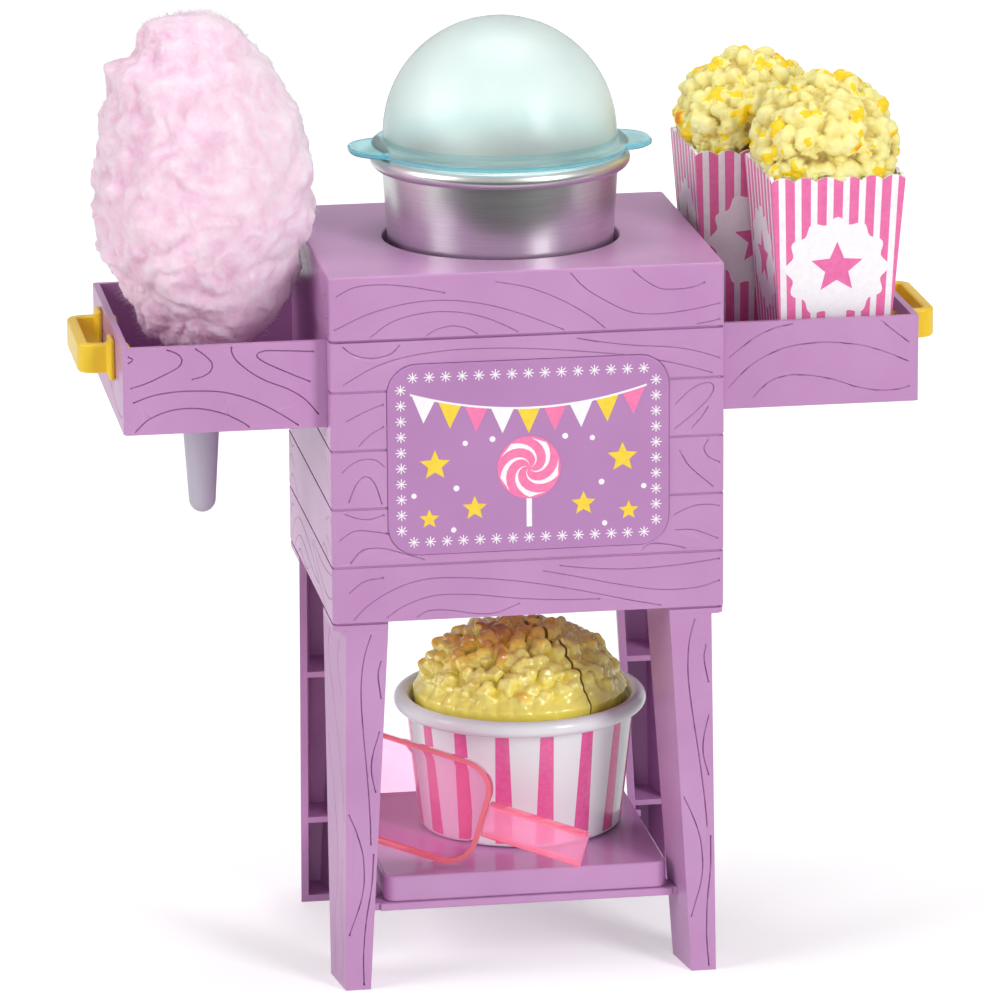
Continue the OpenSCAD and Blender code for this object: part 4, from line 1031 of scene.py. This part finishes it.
# spots of the kernels, spread over the whole heap before it is cut
points, outward = [], []
for i in range(tubCorn["spotRings"]):
    rise = math.pi / 2 * i / tubCorn["spotRings"]
    ring = max(1, round(tubCorn["spotSteps"] * math.cos(rise)))
    for k in range(ring):
        r = (tubCorn["rim"] - tubCorn["inset"]) * math.cos(rise) ** tubCorn["dome"]
        points.append((*polar((0, 0), r, turn * k / ring), heapTall * math.sin(rise)))
        outward.append(skyward(turn * k / ring, rise))
points, outward = np.array(points), np.array(outward)
nuggets = scatterSpots(points, tubCorn["kernels"], tubCorn["spacing"], 31)
nuggetLobes = popped(points[nuggets], outward[nuggets], tubCorn, 33)
dice = random.Random(37)
# lemon low down, golden among it, browner towards the top
nuggetTint = np.array([dice.choice((0.24, 0.3, 0.34, 0.48)) if dice.random() > (z - 14) / 11
                       else dice.choice((0.44, 0.56, 0.64)) for z in points[nuggets, 2]])


# one sector of the tub's heap, closed by flat cuts that meet on its axis
def tubPopcorn(name, nodeName, body, start, end, shift, shrink):
    corn, rows = tubCorn, tubCorn["rings"] + 1
    steps = round((end - start) / corn["step"])
    angles = [math.radians(start + (end - start) * k / steps) for k in range(steps + 1)]
    points, outward = [], []
    for i in range(rows):
        rise = math.pi / 2 * i / corn["rings"]
        flat = math.cos(rise)
        for a in angles:
            r = (corn["rim"] - corn["inset"] * min(1, 4 * math.sin(rise))) * flat ** corn["dome"]
            lean = corn["lean"] * math.sin(2 * rise) * math.cos(a - math.radians(corn["leanTo"]))
            points.append((*polar((0, 0), r, a), (heapTall - corn["inset"] * 0.6) * math.sin(rise) + lean))
            outward.append((*polar((0, 0), flat, a), math.sqrt(1 - flat * flat)))
    points, outward = np.array(points), np.array(outward)
    owner, height = crust(shaken(points, 1.4, 3, (5, 6, 7)), outward, nuggetLobes, 0.35)
    skirt = np.clip(1 - points[:, 2] / corn["skirt"], 0, 1)
    smooth = np.clip(1.5 * skirt, 0, 1)
    angle = np.arctan2(points[:, 1], points[:, 0])
    flute = np.abs(np.sin(corn["flutes"] * (angle + 0.15 * np.sin(3 * angle)))) ** 0.5
    lumps = np.maximum(height, 0.9 + 1.2 * unevenness(points, 2.4, 9))
    height = lumps * (1 - smooth) + (0.5 + 0.9 * flute) * smooth
    height *= np.clip(points[:, 2] / 1.5, 0, 1)
    tint = nuggetTint[owner] + 0.06 * (height - 2.4)
    tint = tint * (1 - smooth) + (0.3 - 0.16 * skirt) * smooth
    everything = [tuple(p) for p in points + outward * height[:, None]]
    base, width, tip = len(everything), steps + 1, (rows - 1) * (steps + 1)
    everything += [(*polar((0, 0), corn["foot"], a), heapFoot) for a in angles]
    axisFoot = len(everything)
    everything.append((0, 0, heapFoot))
    faces = rowFaces(rows - 1, width, closed=False)
    faces += [((rows - 2) * width + k, (rows - 2) * width + k + 1, tip) for k in range(steps)]
    faces += [(base + k, base + k + 1, k + 1, k) for k in range(steps)]
    faces += [(axisFoot, base + k + 1, base + k) for k in range(steps)]
    startCut, endCut = [[axisFoot, base + k] + [i * width + k for i in range(rows - 1)] + [tip]
                        for k in (0, steps)]
    faces += [startCut, endCut[::-1]]
    everything = [(x * shrink + shift[0], y * shrink + shift[1], z) for x, y, z in everything]
    place = Vector(tubMiddle) + Vector((0, 0, rimZ))
    mesh = bpy.data.meshes.new(name)
    mesh.from_pydata([Vector(p) * mm for p in shifted(everything, place)], [], faces)
    paintTint(mesh, list(tint) + [0.04] * (width + 1))
    # the two cut faces take the dark slit material, as painted shade
    for k in (-1, -2):
        mesh.polygons[k].material_index = 1
    shape = bmesh.new()
    shape.from_mesh(mesh)
    bmesh.ops.delete(shape, geom=[v for v in shape.verts if not v.link_faces], context="VERTS")
    bmesh.ops.triangulate(shape, faces=[f for f in shape.faces if len(f.verts) > 4])
    shape.to_mesh(mesh)
    shape.free()
    dressMesh(name, mesh, body, [tubResin, slitShadeResin], 70, nodeName)


wedgeTo = tubCorn["wedgeFrom"] + tubCorn["wedgeAngle"]
tubPopcorn("tubHeapKernels", "popcorn_heap", "tub", wedgeTo, tubCorn["wedgeFrom"] + 360, (0, 0), 1)
wedgeMiddle = math.radians(tubCorn["wedgeFrom"] + tubCorn["wedgeAngle"] / 2)
wedgeShift = tubCorn["gap"] / math.sin(math.radians(tubCorn["wedgeAngle"] / 2))
tubPopcorn("tubWedgeKernels", "popcorn_wedge", "wedge", tubCorn["wedgeFrom"], wedgeTo,
           polar((0, 0), wedgeShift, wedgeMiddle), (tubCorn["foot"] - wedgeShift) / tubCorn["foot"])
print("tub popcorn done")


# Popcorn boxes: folded card with a scalloped rim, printed stripes and a plain rosette on each side

cornBox = {"wall": 1.2, "flare": 5.2, "scallops": 6, "scallopDeep": 1.5, "rows": 8, "fan": 0.87,
           "edgePink": 2.4, "pink": 3.2, "white": 2.22,
           "rosette": 16.3, "petals": 12, "petalDeep": 0.07, "rosetteUp": 40, "star": 9, "ink": 0.08}
# outward and along, for each side of a box
boxSides = [(Vector(out), Vector(along)) for out, along in (
    ((0, -1, 0), (1, 0, 0)), ((1, 0, 0), (0, 1, 0)), ((0, 1, 0), (-1, 0, 0)), ((-1, 0, 0), (0, -1, 0)))]


def stripedBox(name, nodeName, body):
    low, high = boxOf(nodeName)
    middle = (low + high) / 2
    rimX, rimY = (high.x - low.x) / 2, (high.y - low.y) / 2
    tall, flare, scallops = high.z - low.z, cornBox["flare"], cornBox["scallops"]
    shape = bmesh.new()

    def panel(out, along, rimHalf, rimOff, inner):
        wall = cornBox["wall"] if inner else 0
        edges, x = [-rimHalf], -rimHalf
        widths = [cornBox["edgePink"]] + [cornBox["white"], cornBox["pink"]] * 7 + [cornBox["white"]]
        scale = 2 * rimHalf / (sum(widths) + cornBox["edgePink"])
        for w in widths:
            x += w * scale
            edges.append(x)
        edges.append(rimHalf)
        waves = [-rimHalf + 2 * rimHalf * k / (8 * scallops) for k in range(8 * scallops + 1)]
        columns = sorted({round(c, 4) for c in edges + waves})
        columns = [c for i, c in enumerate(columns) if i == 0 or c - columns[i - 1] > 0.05]
        grid = []
        for row in range(cornBox["rows"] + 1):
            share = row / cornBox["rows"]
            line = []
            for c in columns:
                phase = ((c + rimHalf) / (2 * rimHalf) * scallops) % 1
                crest = tall - cornBox["scallopDeep"] * (2 * phase - 1) ** 2
                h = (wall + (crest - wall) * share) if inner else crest * share
                half = rimHalf - flare * (1 - h / tall) - wall
                off = rimOff - flare * (1 - h / tall) - wall
                fan = 1 - (1 - cornBox["fan"]) * (1 - h / tall)
                x = max(-half, min(half, c * fan))
                spot = middle + along * x + out * off + Vector((0, 0, low.z - middle.z + h))
                line.append(shape.verts.new(spot * mm))
            grid.append(line)
        for lower, upper in zip(grid, grid[1:]):
            for i in range(len(columns) - 1):
                a, b, c, d = lower[i], lower[i + 1], upper[i + 1], upper[i]
                face = shape.faces.new((b, a, d, c) if inner else (a, b, c, d))
                stripe = sum(1 for e in edges if e < (columns[i] + columns[i + 1]) / 2) - 1
                face.material_index = 0 if inner else (stripe + 1) % 2
        return grid[-1], grid[0][0]

    floors = [[], []]
    for out, along in boxSides:
        rimHalf, rimOff = (rimX, rimY) if out.y else (rimY, rimX)
        outerRim, outerFoot = panel(out, along, rimHalf, rimOff, False)
        innerRim, innerFoot = panel(out, along, rimHalf, rimOff, True)
        for i in range(len(outerRim) - 1):
            shape.faces.new((outerRim[i], outerRim[i + 1], innerRim[i + 1], innerRim[i]))
        floors[0].append(outerFoot)
        floors[1].append(innerFoot)
    shape.faces.new(floors[0][::-1])
    shape.faces.new(floors[1])
    bmesh.ops.remove_doubles(shape, verts=shape.verts, dist=0.004 * mm)
    bmesh.ops.dissolve_degenerate(shape, edges=shape.edges, dist=0.004 * mm)
    dressMesh(name, meshFrom(shape, name), body, [card, pinkInk], 30, nodeName)
    # rosettes with a star lie on the leaning sides
    lean, h = math.atan2(flare, tall), cornBox["rosetteUp"]
    petals = []
    for a in (turn * j / 96 for j in range(96)):
        swell = 1 + cornBox["petalDeep"] * math.cos(cornBox["petals"] * a)
        petals.append(polar((0, 0), cornBox["rosette"] * swell, a))
    for k, (out, along) in enumerate(boxSides):
        up = Vector((0, 0, math.cos(lean))) + out * math.sin(lean)
        off = (rimY if out.y else rimX) - flare * (1 - h / tall)
        place = middle + out * off + Vector((0, 0, low.z - middle.z + h))
        for kind, outline, layer, ink in (("Rosette", petals, 1, whiteInk),
                                          ("Star", star((0, 0), cornBox["star"]), 2, pinkInk)):
            printShapes(f"{name}{kind}{k}", [outline], place, along, up, layer * cornBox["ink"], body,
                        "printed_card", ink)


stripedBox("frontBoxCard", "front_box", "front_popcorn")
stripedBox("rearBoxCard", "rear_box", "rear_popcorn")
print("boxes done")


# Scoop, built lying flat with its hollow upwards, then stood on its edge against the shelf

scoop = {"long": 42, "wide": 37.7, "deep": 10.5, "round": 11, "wall": 1.8, "floorRound": 4.5, "draft": 2.7,
         "rimBand": 1.2, "handleLong": 35, "handleWide": 11.4, "handleThick": 6, "handleRound": 0.7,
         "place": (-13.4, -41.4, 51.48), "yaw": -18.6, "tilt": 15.7}
stand = (Matrix.Translation(scoop["place"]) @ turned(scoop["yaw"], "Z") @ turned(scoop["tilt"], "Y")
         @ turned(90, "X"))


# open outline from the mouth round the back end to the mouth again, drawn in by inset
def bladeOutline(inset):
    half, r = scoop["wide"] / 2 - inset, max(scoop["round"] - inset, 0.5)
    back = arc((-inset - r, -half + r), r, -90, 0, 10) + arc((-inset - r, half - r), r, 0, 90, 10)
    left = [(-scoop["long"] + k * (scoop["long"] - inset - r) / 6, -half) for k in range(6)]
    right = [(x, half) for x, _ in reversed(left)]
    return left + back + right


def bladeSide(inset, depth, bend):
    rings = [(inset, 0), (inset, -scoop["rimBand"])]
    for k in range(7):
        a = math.pi / 2 * k / 6
        rings.append((inset + bend * (1 - math.cos(a)), -(depth - bend + bend * math.sin(a))))
    slim = scoop["draft"] / (scoop["wide"] / 2) / scoop["deep"]
    return [[(x, y * (1 + slim * z), z) for x, y in bladeOutline(i)] for i, z in rings]


outer = bladeSide(0, scoop["deep"], scoop["floorRound"])
inner = bladeSide(scoop["wall"], scoop["deep"] - scoop["wall"], scoop["floorRound"] - 1)
n, skin = len(outer[0]), len(outer) * len(outer[0])
faces = []
for r in range(len(outer) - 1):
    for k in range(n - 1):
        a, b = r * n + k, (r + 1) * n + k
        c, d = a + skin, b + skin
        faces += [(a, b, b + 1, a + 1), (c, c + 1, d + 1, d)]
rimFaces = len(faces)
faces += [(k, k + 1, k + 1 + skin, k + skin) for k in range(n - 1)]
rimEnd = len(faces)
lastOuter, lastInner = skin - n, 2 * skin - n
for k in range(n // 2 - 1):
    faces.append((lastOuter + k, lastOuter + n - 1 - k, lastOuter + n - 2 - k, lastOuter + k + 1))
    faces.append((lastInner + k, lastInner + k + 1, lastInner + n - 2 - k, lastInner + n - 1 - k))
for a in range(0, lastOuter, n):
    b, c, d = a + n, a + skin, a + n + skin
    faces += [(a, c, d, b), (a + n - 1, b + n - 1, d + n - 1, c + n - 1)]
faces.append((lastOuter, lastInner, lastInner + n - 1, lastOuter + n - 1))
piece = makePiece("scoopBlade", [stand @ Vector(p) for ring in outer + inner for p in ring], faces, "hand_scoop",
                  "pink_plastic", [clearPink, coralEdge], standsFor="scoop")
for face in piece.data.polygons:
    if face.index < 2 * (n - 1) or rimFaces <= face.index < rimEnd:
        face.material_index = 1
piece.visible_shadow = False  # thin clear plastic lets the light through

# handle: a shallow box, hollow at its back
wide, long, thick, wall = scoop["handleWide"], scoop["handleLong"], scoop["handleThick"], scoop["wall"]
shape = bmesh.new()
bmesh.ops.create_cube(shape, size=1)
for v in shape.verts:
    v.co = Vector((0.1 + (v.co.x + 0.5) * (long - 0.1), v.co.y * wide, (v.co.z - 0.5) * thick))
shape.faces.ensure_lookup_table()
bottom = min(shape.faces, key=lambda f: f.calc_center_median().z)
bmesh.ops.inset_region(shape, faces=[bottom], thickness=wall)
for v in bottom.verts:
    v.co.z += thick - wall
edges = [e for e in shape.edges if e.calc_face_angle() > 0.7]
bmesh.ops.bevel(shape, geom=edges, offset=scoop["handleRound"], segments=3, profile=0.5, affect="EDGES",
                clamp_overlap=True)
bmesh.ops.recalc_face_normals(shape, faces=shape.faces)
for face in shape.faces:
    face.material_index = int(face.normal.y < -0.5)
for v in shape.verts:
    v.co = (stand @ v.co) * mm
piece = dressMesh("scoopHandle", meshFrom(shape, "scoopHandle"), "hand_scoop",
                  [thickPink, coralEdge])
piece.visible_shadow = False
print("scoop done")


# Cotton candy: a clumpy body of floss with loose fibres, on a smooth cone

# outline holds (height, reach to the left, reach to the right); each puff, tuft and curl has its size and depth
floss = {
    "rings": 190, "steps": 380,
    "outline": [(0.4, 9, 11), (3, 16, 20), (10, 20.5, 26.5), (17, 24.5, 30.5), (24, 27.5, 32.8), (32, 32.2, 34),
                (38, 33.6, 36.6), (48, 35, 38.2), (58, 33.8, 37.6), (68, 32.6, 36.8), (78, 30.8, 34.4),
                (87, 29.4, 28.6), (93, 28.4, 24.6), (96, 22.6, 22.4), (99, 19.8, 20), (105, 17.6, 16),
                (107.5, 14.4, 12.4), (109.2, 9, 8.8), (110.4, 4, 4)],
    "puff": (17, 2.3), "tuft": (7.5, 1.6), "curl": (3.2, 0.6), "twist": 3, "twistSize": 13, "shadeTo": 26,
    "fibres": 7500, "fibreLong": (1.5, 4), "fibreThick": 0.07,
}
low, high = boxOf("candy_floss")
candyMiddle = Vector(((low.x + high.x) / 2, (low.y + high.y) / 2, low.z))
heights, lefts, rights = zip(*floss["outline"])


# rounded clumps parted by soft creases
def clump(p, kind, seed):
    size, deep = floss[kind]
    return deep * (math.sqrt(noise.noise(p / size + Vector((seed, 0, 0))) ** 2 + 0.006) * 2 - 0.55)


def flossPoint(h, a):
    left, right = np.interp(h, heights, lefts), np.interp(h, heights, rights)
    r = (right + left) / 2 + (right - left) / 2 * math.cos(a)
    p = Vector((*polar((0, 0), r, a), h))
    up = (h - heights[-1] / 2) / heights[-1]
    out = Vector((math.cos(a), math.sin(a), up * 1.2)).normalized()
    twisted = p + noise.noise_vector(p / floss["twistSize"]) * floss["twist"]
    swell = clump(twisted, "puff", 3) + clump(twisted, "tuft", 9) + clump(twisted, "curl", 17)
    leftward = 0.5 - 0.5 * math.cos(a)
    # painted shade in the tint: deeper pink on the left side, towards the bottom and in the creases
    tint = 0.4 * leftward - 0.1 + 0.35 * max(0, 1 - h / floss["shadeTo"]) - 0.08 * swell
    return p, out, swell * min(1, 0.25 + r / 20) * (0.6 + 0.4 * leftward), tint


points, directions, flossShade = [], [], []
steps, rings = floss["steps"], floss["rings"]
for i in range(rings + 1):
    share = 0.5 - 0.5 * math.cos(math.pi * i / rings)
    for k in range(steps):
        p, out, swell, tint = flossPoint(heights[0] + (heights[-1] - heights[0]) * share, turn * k / steps)
        points.append(p + out * swell)
        directions.append(out)
        flossShade.append(tint)
faces = [list(range(steps))[::-1], [rings * steps + k for k in range(steps)]] + rowFaces(rings + 1, steps)
piece = makePiece("candyFlossClumps", [p + candyMiddle for p in points], faces, "cotton_candy", "floss_fibre",
                  [candyFibre], 180, "candy_floss")
paintTint(piece.data, flossShade)

# loose fibres, each a thin three-sided strand that curls away from the clumps
dice = random.Random(41)
strands, strandFaces = [], []
for _ in range(floss["fibres"]):
    k = dice.randrange(len(points))
    out = directions[k]
    drift = Vector((dice.gauss(0, 1), dice.gauss(0, 1), dice.gauss(0, 1)))
    heading = (out * dice.uniform(0.1, 0.7) + drift.normalized()).normalized()
    bend = Vector((dice.gauss(0, 1), dice.gauss(0, 1), dice.gauss(0, 1))) * 0.35
    long = dice.uniform(*floss["fibreLong"])
    spot = points[k] - out * 0.3
    first = len(strands)
    for step in range(5):
        side = heading.orthogonal().normalized()
        other = heading.cross(side)
        thick = floss["fibreThick"] * (1 - 0.18 * step)
        for a in (0, turn / 3, turn * 2 / 3):
            strands.append(spot + side * thick * math.cos(a) + other * thick * math.sin(a))
        spot = spot + heading * long / 4
        heading = (heading + bend).normalized()
    strandFaces += rowFaces(5, 3, first=first)
    strandFaces += [(first + 2, first + 1, first), (first + 12, first + 13, first + 14)]
piece = makePiece("candyFlossFibres", [p + candyMiddle for p in strands], strandFaces, "cotton_candy",
                  "floss_fibre", [looseFibre], 180)
piece.visible_shadow = False

cone = {"tip": 4.5, "drawerFloor": 195.5, "atFloor": 7, "rise": 18}
low, high = boxOf("candy_cone")
tipR, tipZ = cone["tip"], low.z + cone["tip"]
grow = (cone["atFloor"] - tipR) / (cone["drawerFloor"] - tipZ)
topR = cone["atFloor"] + grow * cone["rise"]
profile = [(0, low.z)] + arc((0, tipZ), tipR, -85, 0, 12)
profile += [(tipR + (topR - tipR) * k / 8, tipZ + (high.z - tipZ) * k / 8) for k in range(1, 9)]
profile += [(0, high.z)]
points, faces = lathe(profile, 64)
makePiece("candyConeMoulding", shifted(points, ((low.x + high.x) / 2, (low.y + high.y) / 2, 0)), faces,
          "cotton_candy", "cone_plastic", [conePlastic], standsFor="candy_cone")
print("cotton candy done")
